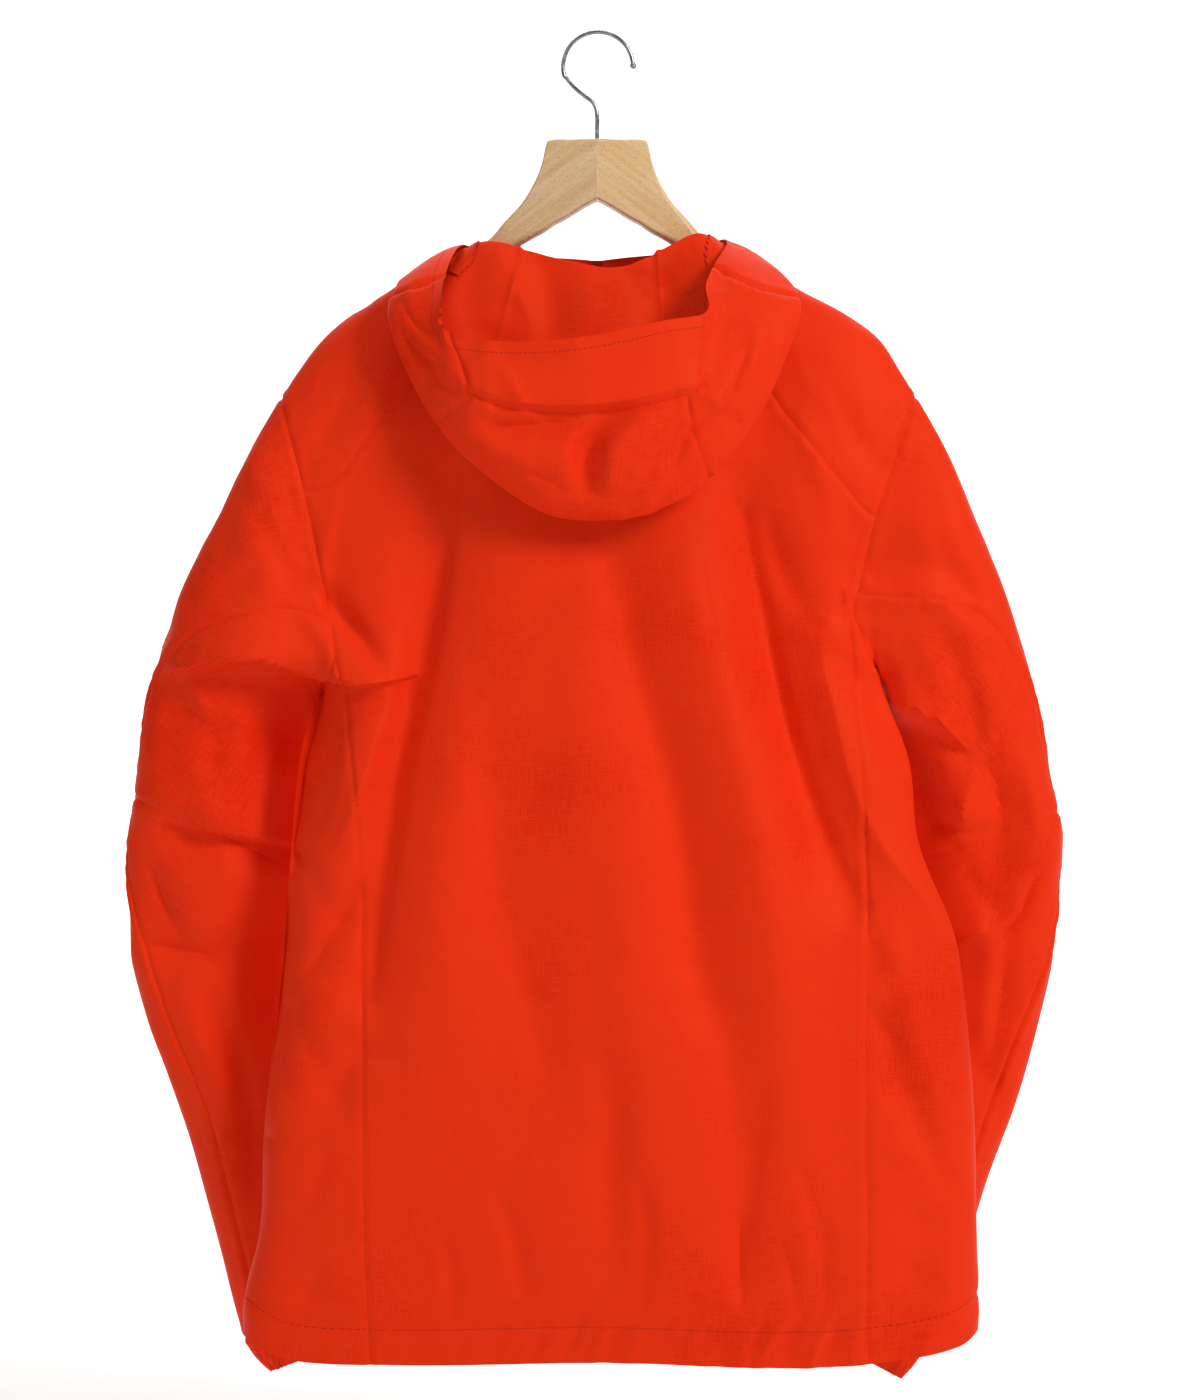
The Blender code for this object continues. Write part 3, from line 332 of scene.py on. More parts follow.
# The body's sections. Edges and side seams are x; back and front are the section's depths;
# edgeDepth is how far the side edges hang towards the back.
bodyRows = readTable(
    "drop leftEdge leftSeam rightSeam rightEdge back front edgeDepth",
    (250, -214, -205, 192, 205, 26, 24, 0),
    (407, -204, -190, 180, 194, 42, 36, 0),
    (460, -198, -179, 182, 200, 46, 38, -4),
    (515, -211, -172, 185, 221, 49, 38, -12),
    (570, -216, -166, 187, 226, 51, 38, -15),
    (632, -221, -164, 188, 250, 52, 38, -17),
    (702, -227, -163, 186, 261, 53, 38, -18),
    (784, -236, -162, 186, 267, 54, 38, -18),
    (850, -238, -161, 187, 268, 55, 38, -18),
    (904, -250, -158, 186, 269, 55, 38, -18),
    (937, -247, -156, 188, 268, 54, 37, -18),
)
hemLine = readTable(
    "x drop",
    (-250, 916), (-236, 930), (-217, 935), (-156, 937), (0, 935), (188, 937), (236, 931),
    (257, 926), (270, 914),
)

# The back's top edge runs along the left yoke seam, the nape and the right yoke seam. Each yoke
# goes from there over its ridge, which lies on the hanger, to the front's seam.
yokeSeamLeft = readTable(
    "x depth drop",
    (-207, -25, 326), (-196, -28, 328), (-174, -31, 305), (-151, -30, 277), (-127, -26, 250),
    (-111, -21, 214), (-100, -17, 190),
)
yokeSeamRight = readTable(
    "x depth drop",
    (195, -25, 347), (181, -28, 331), (165, -31, 313), (139, -30, 280), (120, -26, 254),
    (109, -21, 215), (100, -17, 190),
)
napeLine = readTable(
    "x depth drop",
    (-100, -17, 190), (-60, -23, 193), (0, -25, 194), (60, -23, 193), (100, -17, 190),
)
ridgeLeft = readTable(
    "x depth drop",
    (-225, 0, 258), (-215, 0, 244), (-200, 0, 223), (-185, 0, 207), (-161, 0, 192),
    (-140, 0, 176), (-112, 0, 163), (-100, 0, 158),
)
ridgeRight = readTable(
    "x depth drop",
    (226, 0, 257), (212, 0, 235), (199, 0, 214), (178, 0, 200), (143, 0, 181), (112, 0, 163),
    (100, 0, 157),
)
frontSeamLeft = readTable(
    "x depth drop",
    (-207, 24, 326), (-180, 28, 296), (-150, 30, 262), (-120, 29, 228), (-92, 26, 200),
)
frontSeamRight = readTable(
    "x depth drop",
    (195, 24, 335), (175, 28, 296), (148, 30, 262), (120, 29, 228), (92, 26, 200),
)
frontNeck = readTable(
    "x depth drop",
    (-92, 26, 200), (-62, 32, 216), (-30, 35, 226), (0, 36, 228), (30, 35, 226), (62, 32, 216),
    (92, 26, 200),
)
underarm = {"left": (438, 470), "right": (411, 450)}  # drop at its corners, and at its lowest

# Each sleeve's rings, from the shoulder down: the outer and the inner end of the ring as seen
# from behind, the depth of its middle, half its thickness, how much deeper its inner end lies,
# and where the outer seam runs on it, in degrees from the outer end towards the back.
sleeveColumns = "outerX outerDrop innerX innerDrop depth half tilt seam"
sleeveRows = {
    "left": readTable(
        sleeveColumns,
        (-247, 299, -200, 474, 5, 36, 8, 104),
        (-274, 353, -195, 500, 14, 38, 15, 78),
        (-300, 403, -196, 530, 21, 38, 15, 46),
        (-319, 466, -196, 565, 28, 36, 16, 8),
        (-332, 542, -199, 602, 34, 33, 15, -12),
        (-337, 589, -199, 636, 40, 31, 13, 4),
        (-334, 656, -197, 673, 46, 29, 10, 34),
        (-317, 721, -192, 716, 50, 28, 6, 44),
        (-295, 783, -187, 767, 52, 27, 4, 50),
        (-279, 843, -182, 820, 53, 26, 3, 50),
        (-265, 898, -177, 867, 53, 25, 2, 50),
        (-254, 933, -175, 903, 53, 24, 0, 50),
    ),
    "right": readTable(
        sleeveColumns,
        (251, 304, 201, 468, 6, 36, 9, 100),
        (272, 354, 200, 492, 13, 38, 14, 72),
        (291, 399, 204, 524, 21, 38, 16, 44),
        (312, 467, 209, 558, 28, 36, 16, 16),
        (330, 553, 218, 594, 34, 33, 16, -12),
        (334, 589, 219, 622, 40, 31, 14, -8),
        (329, 650, 216, 658, 46, 29, 12, 20),
        (318, 703, 208, 702, 51, 28, 8, 40),
        (301, 765, 198, 753, 54, 27, 5, 50),
        (280, 826, 184, 804, 56, 26, 3, 50),
        (260, 888, 173, 851, 57, 25, 2, 50),
        (242, 931, 165, 888, 57, 24, 0, 50),
    ),
}
elbowRing = 5  # the seam across the elbow, counted from the armhole
underarmTurn = 235  # the seam along the inside of the arm, in the same degrees
plainRows = 6  # a sleeve's folds fade out over this many rows above its cuff
cuffRows = {
    "left": readTable(
        sleeveColumns,
        (-247, 945, -177, 917, 53, 21, 0, 50),
        (-236, 957, -172, 929, 53, 19, 0, 50),
    ),
    "right": readTable(
        sleeveColumns,
        (232, 948, 163, 909, 57, 21, 0, 50),
        (220, 963, 157, 926, 57, 19, 0, 50),
    ),
}
cuffGatherDepth = 1.2  # each other cell of the cuff is gathered in, which makes 12 gathers

# The hood's lines, each from the front of the neck over the left shoulder, the nape and the
# right shoulder: at is the place along the neck seam, in its own cells.
hoodColumns = "at x depth drop"
hoodLines = {
    "fold": (  # the stand's fold, which is the far edge of the opening
        (0, 0, 34, 200), (4, -82, 24, 188), (6, -95, 16, 160), (8, -97, 4, 157),
        (10, -93, -9, 155), (12, -78, -22, 147), (15, -40, -28, 158), (18.6, 14, -31, 169),
        (21.5, 48, -28, 154), (24, 72, -22, 141), (26, 88, -10, 151), (28, 97, 4, 156),
        (30, 95, 16, 160), (32, 82, 24, 188), (36, 0, 34, 200),
    ),
    "farWall": (  # the far wall, half way down the bag
        (0, 0, 35, 190), (4, -80, 25, 180), (6, -96, 15, 157), (8, -108, -4, 158),
        (10, -120, -24, 180), (12, -112, -42, 205), (15, -52, -46, 242), (18, 0, -47, 252),
        (21, 50, -46, 240), (24, 110, -42, 205), (26, 119, -24, 178), (28, 108, -4, 157),
        (30, 96, 15, 157), (32, 80, 25, 180), (36, 0, 35, 190),
    ),
    "under": (  # the underside, just behind the lower outline
        (0, 0, 36, 182), (4, -79, 25, 174), (6, -96, 14, 155), (8, -121, -9, 165),
        (10, -139, -32, 191), (12, -136, -50, 222), (14, -106, -58, 280), (16, -52, -61, 324),
        (18, -6, -62, 336), (20, 50, -61, 326), (22, 98, -58, 286), (24, 130, -50, 224),
        (26, 137, -32, 190), (28, 119, -9, 164), (30, 96, 14, 155), (32, 79, 25, 174),
        (36, 0, 36, 182),
    ),
    "outline": (  # the lower outline
        (0, 0, 36, 174), (4, -78, 25, 168), (6, -94, 12, 153), (8, -126, -15, 165),
        (10, -145, -40, 190), (12, -141, -56, 222), (14, -110, -67, 279), (16, -54, -73, 330),
        (18, -6, -75, 345), (20, 50, -73, 335), (22, 101, -67, 291), (24, 134, -56, 226),
        (26, 141, -40, 190), (28, 121, -15, 163), (30, 94, 12, 152), (32, 78, 25, 168),
        (36, 0, 36, 174),
    ),
    "nearWall": (  # the near wall, between the outline and the visor's seam
        (0, 0, 36, 168), (4, -76, 24, 162), (6, -92, 10, 152), (8, -114, -18, 158),
        (10, -133, -52, 186), (12, -127, -72, 224), (14, -98, -84, 270), (16, -52, -92, 308),
        (18, -4, -94, 316), (20, 50, -92, 306), (22, 86, -84, 272), (24, 113, -72, 226),
        (26, 116, -52, 186), (28, 108, -18, 155), (30, 92, 10, 150), (32, 76, 24, 162),
        (36, 0, 36, 168),
    ),
    "visorSeam": (  # the visor's seam
        (0, 0, 35, 162), (4, -73, 23, 157), (6, -90, 9, 151), (8, -106, -21, 155),
        (10, -120, -54, 183), (12, -115, -76, 224), (14, -88, -90, 261), (16, -48, -96, 274),
        (18, 6, -97, 275), (20, 50, -94, 266), (22, 72, -87, 257), (24, 92, -74, 222),
        (26, 96, -52, 178), (28, 97, -21, 152), (30, 86, 9, 147), (32, 73, 23, 156),
        (36, 0, 35, 162),
    ),
    "rim": (  # the edge of the opening, with the visor's brim between 14 and 22
        (0, 0, 34, 157), (4, -70, 22, 153), (6, -88, 8, 150), (8, -98, -21, 153),
        (10, -106, -52, 176), (12, -107, -72, 198), (14, -103, -80, 219), (16, -56, -93, 226),
        (18, -1, -97, 222), (20, 48, -93, 211), (22, 76, -82, 205), (24, 75, -66, 187),
        (26, 81, -49, 170), (28, 92, -22, 150), (30, 85, 6, 146), (32, 70, 22, 150),
        (36, 0, 34, 157),
    ),
}
# Which of the neck seam's cells the hood's panels take; the collar has those outside its pair.
visorColumns, crownColumns, collarColumns, napeCentre = (14, 22), (14, 21), (10, 26), 18
visorLine = 6  # the visor's seam, as the neck's seam is line 0

# Folds in the back-facing cloth: a path of x and drop, how wide the fold is to the path's left
# and right (walking along it), and its height, less than nothing for a trough.
backFolds = (
    # the cloth that hangs over under the left arm, and the hollow below it
    (((-318, 452), (-270, 446), (-215, 452), (-150, 462)), 26, 9, 13),
    (((-300, 480), (-240, 492), (-190, 500)), 24, 22, -11),
    # the same under the right arm
    (((166, 425), (192, 448), (212, 480), (222, 520)), 15, 8, 9),
    (((190, 430), (205, 462), (224, 500), (246, 560)), 9, 16, -12),
    # long troughs down the back from the hood
    (((-96, 318), (-110, 376), (-124, 456), (-137, 525), (-152, 640), (-160, 720)), 22, 26, -8),
    (((98, 318), (107, 376), (119, 437), (133, 497), (148, 556), (158, 600), (184, 622)), 26, 20, -9),
    (((-3, 343), (15, 386), (28, 456), (46, 516), (64, 586), (70, 658), (94, 716), (104, 790),
      (101, 880)), 26, 20, -7),
    (((-90, 440), (-66, 537), (-70, 597), (-58, 647), (-40, 716), (-28, 787)), 24, 26, -4),
    (((122, 347), (144, 406)), 18, 18, -5),
    (((10, 728), (12, 800), (13, 892)), 20, 20, -3),
    # soft ridges between them
    (((-60, 360), (-84, 470), (-110, 600), (-120, 760)), 34, 30, 5),
    (((50, 350), (78, 450), (104, 560), (124, 700), (130, 860)), 28, 26, 6),
    (((-20, 420), (0, 520), (20, 640), (36, 780), (40, 900)), 30, 30, 5),
    # side panels
    (((-168, 610), (-200, 661)), 14, 14, -5),
    (((-165, 719), (-205, 778)), 14, 14, -5),
    (((196, 700), (244, 820)), 14, 16, -5),
    (((238, 850), (196, 930)), 14, 14, -4),
    # sleeves
    (((-330, 570), (-270, 582), (-225, 588)), 12, 16, -5),
    (((-326, 660), (-262, 652), (-216, 640)), 16, 12, -5),
    (((255, 490), (278, 517), (286, 637)), 14, 14, -5),
    (((264, 708), (291, 771)), 12, 14, -5),
    (((250, 420), (276, 470), (300, 540)), 20, 16, 5),
    (((-290, 500), (-276, 545), (-262, 600)), 18, 14, 5),
    # yokes and shoulders
    (((-205, 300), (-240, 380), (-262, 440)), 22, 24, 4),
    (((205, 300), (238, 350), (262, 400)), 22, 22, 4),
)
frontFolds = (
    (((-150, 320), (-120, 520), (-110, 760), (-118, 900)), 30, 28, 6),
    (((-70, 330), (-62, 560), (-70, 800)), 26, 26, -6),
    (((80, 330), (66, 560), (72, 820)), 26, 26, -6),
    (((150, 330), (132, 520), (126, 740), (136, 900)), 30, 28, 6),
    (((-210, 470), (-260, 500), (-310, 500)), 22, 18, -7),
    (((205, 470), (255, 500), (300, 510)), 18, 22, -7),
)
hoodFolds = (
    (((-88, 278), (-40, 290), (-17, 284)), 9, 14, -5),
    (((6, 276), (-6, 296), (-4, 326)), 12, 14, -6),
    (((60, 268), (52, 300), (56, 330)), 10, 10, -4),
    (((-128, 190), (-118, 240), (-96, 290)), 10, 12, -5),
    (((90, 270), (112, 232), (122, 190)), 12, 12, 5),
)


def smooth(keys, values, at):
    # A smooth curve through values at rising keys (cubic, with slopes from the neighbours).
    keys = np.asarray(keys, float)
    values = np.asarray(values, float)
    at = np.asarray(at, float)
    slopes = np.gradient(values, keys, axis=0)
    i = np.clip(np.searchsorted(keys, at, side="right") - 1, 0, len(keys) - 2)
    span = keys[i + 1] - keys[i]
    t = np.clip((at - keys[i]) / span, 0, 1)
    if values.ndim > 1:
        t, span = t[..., None], span[..., None]
    first = (1 + 2 * t) * (1 - t) ** 2 * values[i] + t * (1 - t) ** 2 * span * slopes[i]
    second = t * t * (3 - 2 * t) * values[i + 1] + t * t * (t - 1) * span * slopes[i + 1]
    return first + second


def pointsOf(rows):
    return np.stack([rows["x"], rows["depth"], -rows["drop"]], axis=1)


def along(points, count):
    # count + 1 points at even distances along a smooth curve through the given ones.
    points = np.asarray(points, float)
    far = np.concatenate([[0], np.cumsum(np.linalg.norm(np.diff(points, axis=0), axis=1))])
    return smooth(far, points, np.linspace(0, far[-1], count + 1))


def bodyAt(name, drop):
    return smooth(bodyRows["drop"], bodyRows[name], drop)


def bodyDepth(x, drop, back):
    # The section's depth at x: thin at the edges, which hang a little towards the back.
    left, right = bodyAt("leftEdge", drop), bodyAt("rightEdge", drop)
    off = np.clip(np.abs((x - (left + right) / 2) / ((right - left) / 2)), 0, 1)
    bulge = (1 - off**sectionPower) ** (1 / sectionPower)
    depth = -bodyAt("back", drop) * bulge if back else bodyAt("front", drop) * bulge
    return depth + bodyAt("edgeDepth", drop) * off**3


def sideSection(drop, turn, left):
    # A point of the side panel: turn runs from -1 at the back seam to 1 at the front seam.
    edge = bodyAt("leftEdge" if left else "rightEdge", drop)
    seam = bodyAt("leftSeam" if left else "rightSeam", drop)
    other = bodyAt("rightEdge" if left else "leftEdge", drop)
    middle, half = (edge + other) / 2, abs(edge - other) / 2
    seamOff = min(abs(seam - middle) / half, 0.985)
    most = math.acos(seamOff ** (sectionPower / 2))
    off = math.cos(most * turn) ** (2 / sectionPower)
    x = middle + math.copysign(off * half, edge - middle)
    return x, float(bodyDepth(x, drop, turn < 0))


weightNames = ("back", "front", "bag", "sleeve", "hood")
skin = {"points": [], "cells": [], "panels": [], "cloth": [], **{name: [] for name in weightNames}}


def addPoints(points, **weights):
    # weights say how far a point faces the back or the front, and which part of the cloth it is in
    first = len(skin["points"])
    points = np.asarray(points, float).reshape(-1, 3)
    skin["points"].extend(points)
    for name in weightNames:
        skin[name].extend(np.broadcast_to(weights.get(name, 0.0), len(points)))
    return np.arange(first, first + len(points))


def fillGrid(grid, panelOf):
    # adds the grid's cells, with cloth coordinates in metres along its columns and rows
    points = np.array(skin["points"])[grid]
    across = np.linalg.norm(np.diff(points, axis=1), axis=2).mean(axis=0)
    up = np.linalg.norm(np.diff(points, axis=0), axis=2).mean(axis=1)
    across = np.concatenate([[0], np.cumsum(across)]) * mm
    up = np.concatenate([[0], np.cumsum(up)]) * mm
    for row in range(grid.shape[0] - 1):
        for column in range(grid.shape[1] - 1):
            corners = (row, column), (row, column + 1), (row + 1, column + 1), (row + 1, column)
            skin["cells"].append([int(grid[corner]) for corner in corners])
            skin["cloth"].append([(across[c], up[r]) for r, c in corners])
            skin["panels"].append(panelOf(row, column))


def bodyColumns():
    # How the body's closed rows are cut: back, right side, front, left side.
    back = 2 * yokeColumns + napeColumns
    front = 2 * (yokeColumns + frontNeckColumns) + 1
    return back, front


def frontPlaces():
    # Where the front's columns lie, from its right seam (0) to its left one (1).
    _, front = bodyColumns()
    half = np.linspace(0, 1, (front - 1) // 2 + 1)
    wide = bodyAt("rightSeam", waistDrop) - bodyAt("leftSeam", waistDrop)
    zipSide = 0.5 - zipHalf / wide
    return np.concatenate([half * zipSide, 1 - half[::-1] * zipSide])


def bodyRing(level):
    # One closed row of the lower body, from the back's left seam round by the right side.
    back, _ = bodyColumns()
    points = []
    (leftDrop, leftLow), (rightDrop, rightLow) = underarm["left"], underarm["right"]

    def dropAt(xAtHem, top):
        return (1 - level) * float(smooth(hemLine["x"], hemLine["drop"], xAtHem)) + level * top

    def betweenSeams(place, drop):
        left, right = bodyAt("leftSeam", drop), bodyAt("rightSeam", drop)
        return left + place * (right - left)

    def across(place, isBack):
        top = leftDrop + (rightDrop - leftDrop) * place
        drop = dropAt(betweenSeams(place, hemDrop), top)
        x = betweenSeams(place, drop)
        return x, float(bodyDepth(x, drop, isBack)), -drop

    def side(turn, isLeft):
        corner, low = (leftDrop, leftLow) if isLeft else (rightDrop, rightLow)
        top = low + (corner - low) * abs(turn) ** 1.6
        edge = bodyAt("leftEdge" if isLeft else "rightEdge", hemEdgeDrop)
        seam = bodyAt("leftSeam" if isLeft else "rightSeam", hemDrop)
        drop = dropAt(edge + (seam - edge) * abs(turn) ** 2, top)
        x, depth = sideSection(drop, turn, isLeft)
        return x, depth, -drop

    for column in range(back):
        points.append(across(column / back, True))
    for column in range(sideColumns):
        points.append(side(-1 + 2 * column / sideColumns, False))
    for place in frontPlaces()[:-1]:
        points.append(across(1 - place, False))
    for column in range(sideColumns):
        points.append(side(1 - 2 * column / sideColumns, True))
    return np.array(points)


def upperSheet(bottom, top, rows):
    # Rows between the underarm's level and the yoke seam: the depth is reached soon below it.
    sheets = []
    for row in range(1, rows):
        share = row / rows
        line = bottom + (top - bottom) * share
        line[:, 1] = top[:, 1] + (bottom[:, 1] - top[:, 1]) * (1 - share**2)
        sheets.append(line)
    return sheets


def sleeveAngles(count, seamCell, cornerCell, seam):
    # The ring's angles from the outer end over the back; cells run from the outer seam.
    inward = cornerCell - seamCell
    there = np.linspace(seam, underarmTurn, inward + 1)[:-1]
    home = np.linspace(underarmTurn, 360 + seam, count - inward + 1)[:-1]
    return np.roll(np.concatenate([there, home]), seamCell)


def sleeveRings(rows, cells, seamCell, cornerCell):
    # Key rings of a sleeve, with cells counted from the ridge over the back, and how far each
    # point of them faces the back.
    rings, facing = [], []
    for i in range(len(rows["outerX"])):
        outer = np.array([rows["outerX"][i], -rows["outerDrop"][i]])
        inner = np.array([rows["innerX"][i], -rows["innerDrop"][i]])
        angles = np.radians(sleeveAngles(cells, seamCell, cornerCell, rows["seam"][i]))
        middle, half = (outer + inner) / 2, (outer - inner) / 2
        flat = middle + np.cos(angles)[:, None] * half
        turned = rows["half"][i] * np.sin(angles) + rows["tilt"][i] * np.cos(angles)
        depth = rows["depth"][i] - turned
        rings.append(np.stack([flat[:, 0], depth, flat[:, 1]], axis=1))
        facing.append(np.sin(angles))
    return rings, facing


def makeBody():
    # Adds the body below the yokes. Gives the armholes' edges and the yokes' lower seams.
    back, front = bodyColumns()
    zipCell = (front - 1) // 2
    side, half = sideColumns, sideColumns // 2
    rings = []
    for row in range(rowsBelowArm + 1):
        ring = bodyRing(row / rowsBelowArm)
        cells = len(ring)
        place = np.arange(cells)
        facingBack = np.interp(place, [0, back, back + half, cells - half, cells], [1, 1, 0, 0, 1])
        facingFront = np.interp(
            place, [back + half, back + side, cells - side, cells - half], [0, 1, 1, 0])
        rings.append(addPoints(ring, back=facingBack, front=facingFront))
    grid = np.array([np.append(ring, ring[0]) for ring in rings])

    def frontPanel(row, column):
        if column == zipCell:
            return "zip_tape"
        return "front_right" if column < zipCell else "front_left"

    def lowerPanel(row, column):
        if column < back:
            return "back"
        if column < back + sideColumns:
            return "side_right"
        place = column - back - sideColumns
        return frontPanel(row, place) if place < front else "side_left"

    fillGrid(grid, lowerPanel)

    top = np.concatenate([
        along(pointsOf(yokeSeamLeft), yokeColumns)[:-1],
        along(pointsOf(napeLine), napeColumns)[:-1],
        along(pointsOf(yokeSeamRight)[::-1], yokeColumns),
    ])
    neck = along(pointsOf(frontNeck)[::-1], 2 * frontNeckColumns + 1)
    middle = frontNeckColumns
    neck[middle, 0], neck[middle + 1, 0] = zipHalf, -zipHalf
    frontTop = np.concatenate([
        along(pointsOf(frontSeamRight), yokeColumns)[:-1],
        neck,
        along(pointsOf(frontSeamLeft)[::-1], yokeColumns)[1:],
    ])
    backLow = grid[-1][: back + 1]
    frontLow = grid[-1][back + sideColumns : back + sideColumns + front + 1]
    plainBack = bodyRing(1.0)[: back + 1]
    plainFront = np.roll(bodyRing(1.0), -(back + sideColumns), axis=0)[: front + 1]

    def upper(low, plain, high, isBack):
        lines = [low]
        for line in upperSheet(plain, high, rowsBesideArm):
            lines.append(addPoints(line, back=isBack, front=1 - isBack))
        lines.append(addPoints(high, back=isBack * 0.5))
        return np.array(lines)

    backGrid = upper(backLow, plainBack, top, 1)
    frontGrid = upper(frontLow, plainFront, frontTop, 0)
    fillGrid(backGrid, lambda row, column: "back")
    fillGrid(frontGrid, frontPanel)
    return grid, backGrid, frontGrid


def makeYoke(side, backSeam, frontSeam):
    # Adds a yoke between its two seams, over the ridge. Gives its grid, armhole end first.
    ridge = along(pointsOf(ridgeLeft if side == "left" else ridgeRight), yokeColumns)
    half = yokeRows // 2
    lines = [backSeam]
    points = np.array(skin["points"])
    for row in range(1, yokeRows):
        seam = points[backSeam if row < half else frontSeam]
        turn = math.radians(90 * abs(row - half) / half)
        level = 1 - math.cos(turn)
        lines.append(addPoints(ridge + (seam - ridge) * np.array([level, math.sin(turn), level])))
    lines.append(frontSeam)
    grid = np.array(lines)
    faces = grid[:, ::-1] if side == "right" else grid
    fillGrid(faces, lambda row, column: "yoke_" + side)
    return grid


def makeSleeve(side, armhole):
    # Adds a sleeve and its cuff to the armhole's points, counted from the ridge over the back.
    cells = len(armhole)
    seamCell = yokeRows // 2 + rowsBesideArm - 1
    cornerCell = yokeRows // 2 + rowsBesideArm + sideColumns
    rings, facing = sleeveRings(sleeveRows[side], cells, seamCell, cornerCell)
    start = np.array(skin["points"])[armhole]
    keys = np.array([start] + rings)
    facing = np.array([np.zeros(cells)] + list(facing))
    steps = (len(keys) - 1) * ringRows
    at = np.arange(1, steps + 1) / ringRows
    body = smooth(np.arange(len(keys)), keys.reshape(len(keys), -1), at).reshape(steps, cells, 3)
    turned = smooth(np.arange(len(keys)), facing, at)
    lines = [armhole]
    for row, (line, face) in enumerate(zip(body, turned)):
        fade = min(1.0, (steps - row) / plainRows)
        towardBack, towardFront = (np.clip(way * face, 0, 1) ** 0.6 * fade for way in (1, -1))
        onSleeve = min(1, (row + 1) / 3)
        lines.append(addPoints(line, back=towardBack, front=towardFront, sleeve=onSleeve))
    cuffs, _ = sleeveRings(cuffRows[side], cells, seamCell, cornerCell)
    wave = np.where(np.arange(cells) % 2, 1, -1) * cuffGatherDepth
    for cuff in cuffs:
        middle = cuff.mean(axis=0)
        outward = cuff - middle
        outward /= np.linalg.norm(outward, axis=1)[:, None]
        lines.append(addPoints(cuff + outward * wave[:, None], sleeve=1))
    grid = np.array(lines)
    closed = np.concatenate([grid, grid[:, :1]], axis=1)
    if side == "left":
        closed = closed[:, ::-1]

    def panel(row, column):
        cell = cells - 1 - column if side == "left" else column
        if row >= steps:
            return "cuff_" + side
        if not seamCell <= cell < cornerCell:
            return "sleeve_top_" + side
        return ("sleeve_back_upper_" if row < elbowRing * ringRows else "sleeve_back_lower_") + side

    fillGrid(closed, panel)


def makeHood(neck):
    # Adds the hood to the neck seam's points, counted from the front over the left shoulder.
    cells = len(neck)
    start = np.array(skin["points"])[neck]
    keys = [start]
    for rows in hoodLines.values():
        line = readTable(hoodColumns, *rows)
        keys.append(smooth(line["at"], pointsOf(line), np.arange(cells)))
    # The zip's two edges stand a zip's width apart up to the collar's top.
    for key in keys[1:]:
        key[0, 0], key[-1, 0] = -zipHalf, zipHalf
        key[0, 1:] = key[-1, 1:] = (key[0, 1:] + key[-1, 1:]) / 2
    keys = np.array(keys)
    steps = (len(keys) - 1) * linesBetween
    at = np.arange(1, steps + 1) / linesBetween
    lines = smooth(np.arange(len(keys)), keys.reshape(len(keys), -1), at).reshape(steps, cells, 3)
    # which cells and which lines are on the bag's near wall, where its folds are
    near = np.interp(np.arange(cells), [9, 13, 23, 27], [0, 1, 1, 0])
    rows = [neck]
    for row, line in enumerate(lines, start=1):
        onNearWall = np.interp(row, [7, 9, steps - 2, steps], [0, 1, 0.6, 0])
        rows.append(addPoints(line, bag=near * onNearWall, hood=min(1, row / 3)))
    grid = np.array(rows)
    closed = np.concatenate([grid, grid[:, :1]], axis=1)
    visorRow = visorLine * linesBetween

    def panel(row, column):
        if column == cells - 1:
            return "zip_tape"
        if not collarColumns[0] <= column < collarColumns[1]:
            return "collar_left" if column < napeCentre else "collar_right"
        if row >= visorRow and visorColumns[0] <= column < visorColumns[1]:
            return "hood_visor"
        if crownColumns[0] <= column < crownColumns[1]:
            return "hood_crown"
        return "hood_side_left" if column < napeCentre else "hood_side_right"

    fillGrid(closed, panel)


def foldHeight(folds, x, drop):
    # Each row of folds is a path of (x, drop), its width to the left and right (walking along
    # it), its height (a trough has less than nothing), and its edge: 2 is soft, 1 is a crease.
    total = np.zeros(len(x))
    for path, left, right, height, *edge in folds:
        edge = edge[0] if edge else 2
        line = along(np.array([(a, 0, b) for a, b in path]), 3 * (len(path) - 1))[:, [0, 2]]
        # beyond this many widths nothing is left of it
        reach = (3 if edge == 2 else 5) * max(left, right)
        low, high = line.min(axis=0) - reach, line.max(axis=0) + reach
        near = np.flatnonzero((x > low[0]) & (x < high[0]) & (drop > low[1]) & (drop < high[1]))
        spot = np.stack([x[near], drop[near]], axis=1)
        starts, steps = line[:-1], np.diff(line, axis=0)
        lengths = np.linalg.norm(steps, axis=1)
        before = np.concatenate([[0], np.cumsum(lengths)[:-1]])
        away = spot[:, None, :] - starts[None]
        place = (away * steps).sum(-1) / lengths**2
        part = np.clip(place, 0, 1)
        gap = away - part[..., None] * steps
        distance = np.linalg.norm(gap, axis=-1)
        nearest = distance.argmin(axis=1)
        pick = np.arange(len(spot))
        turn = steps[nearest, 0] * gap[pick, nearest, 1] - steps[nearest, 1] * gap[pick, nearest, 0]
        wide = np.where(turn > 0, right, left)
        # it is highest half way along its path
        run = (before[nearest] + part[pick, nearest] * lengths[nearest]) / lengths.sum()
        taper = np.sin(np.pi * np.clip(run * 0.8 + 0.1, 0, 1)) ** 0.7
        # past the path's ends it dies away soon
        past = np.abs(place - part)[pick, nearest] * lengths[nearest]
        past = np.where((nearest == 0) | (nearest == len(lengths) - 1), past, 0)
        taper *= np.exp(-((past / (5 + 0.3 * max(left, right))) ** 2))
        total[near] += height * taper * np.exp(-((distance[pick, nearest] / wide) ** edge))
    return total


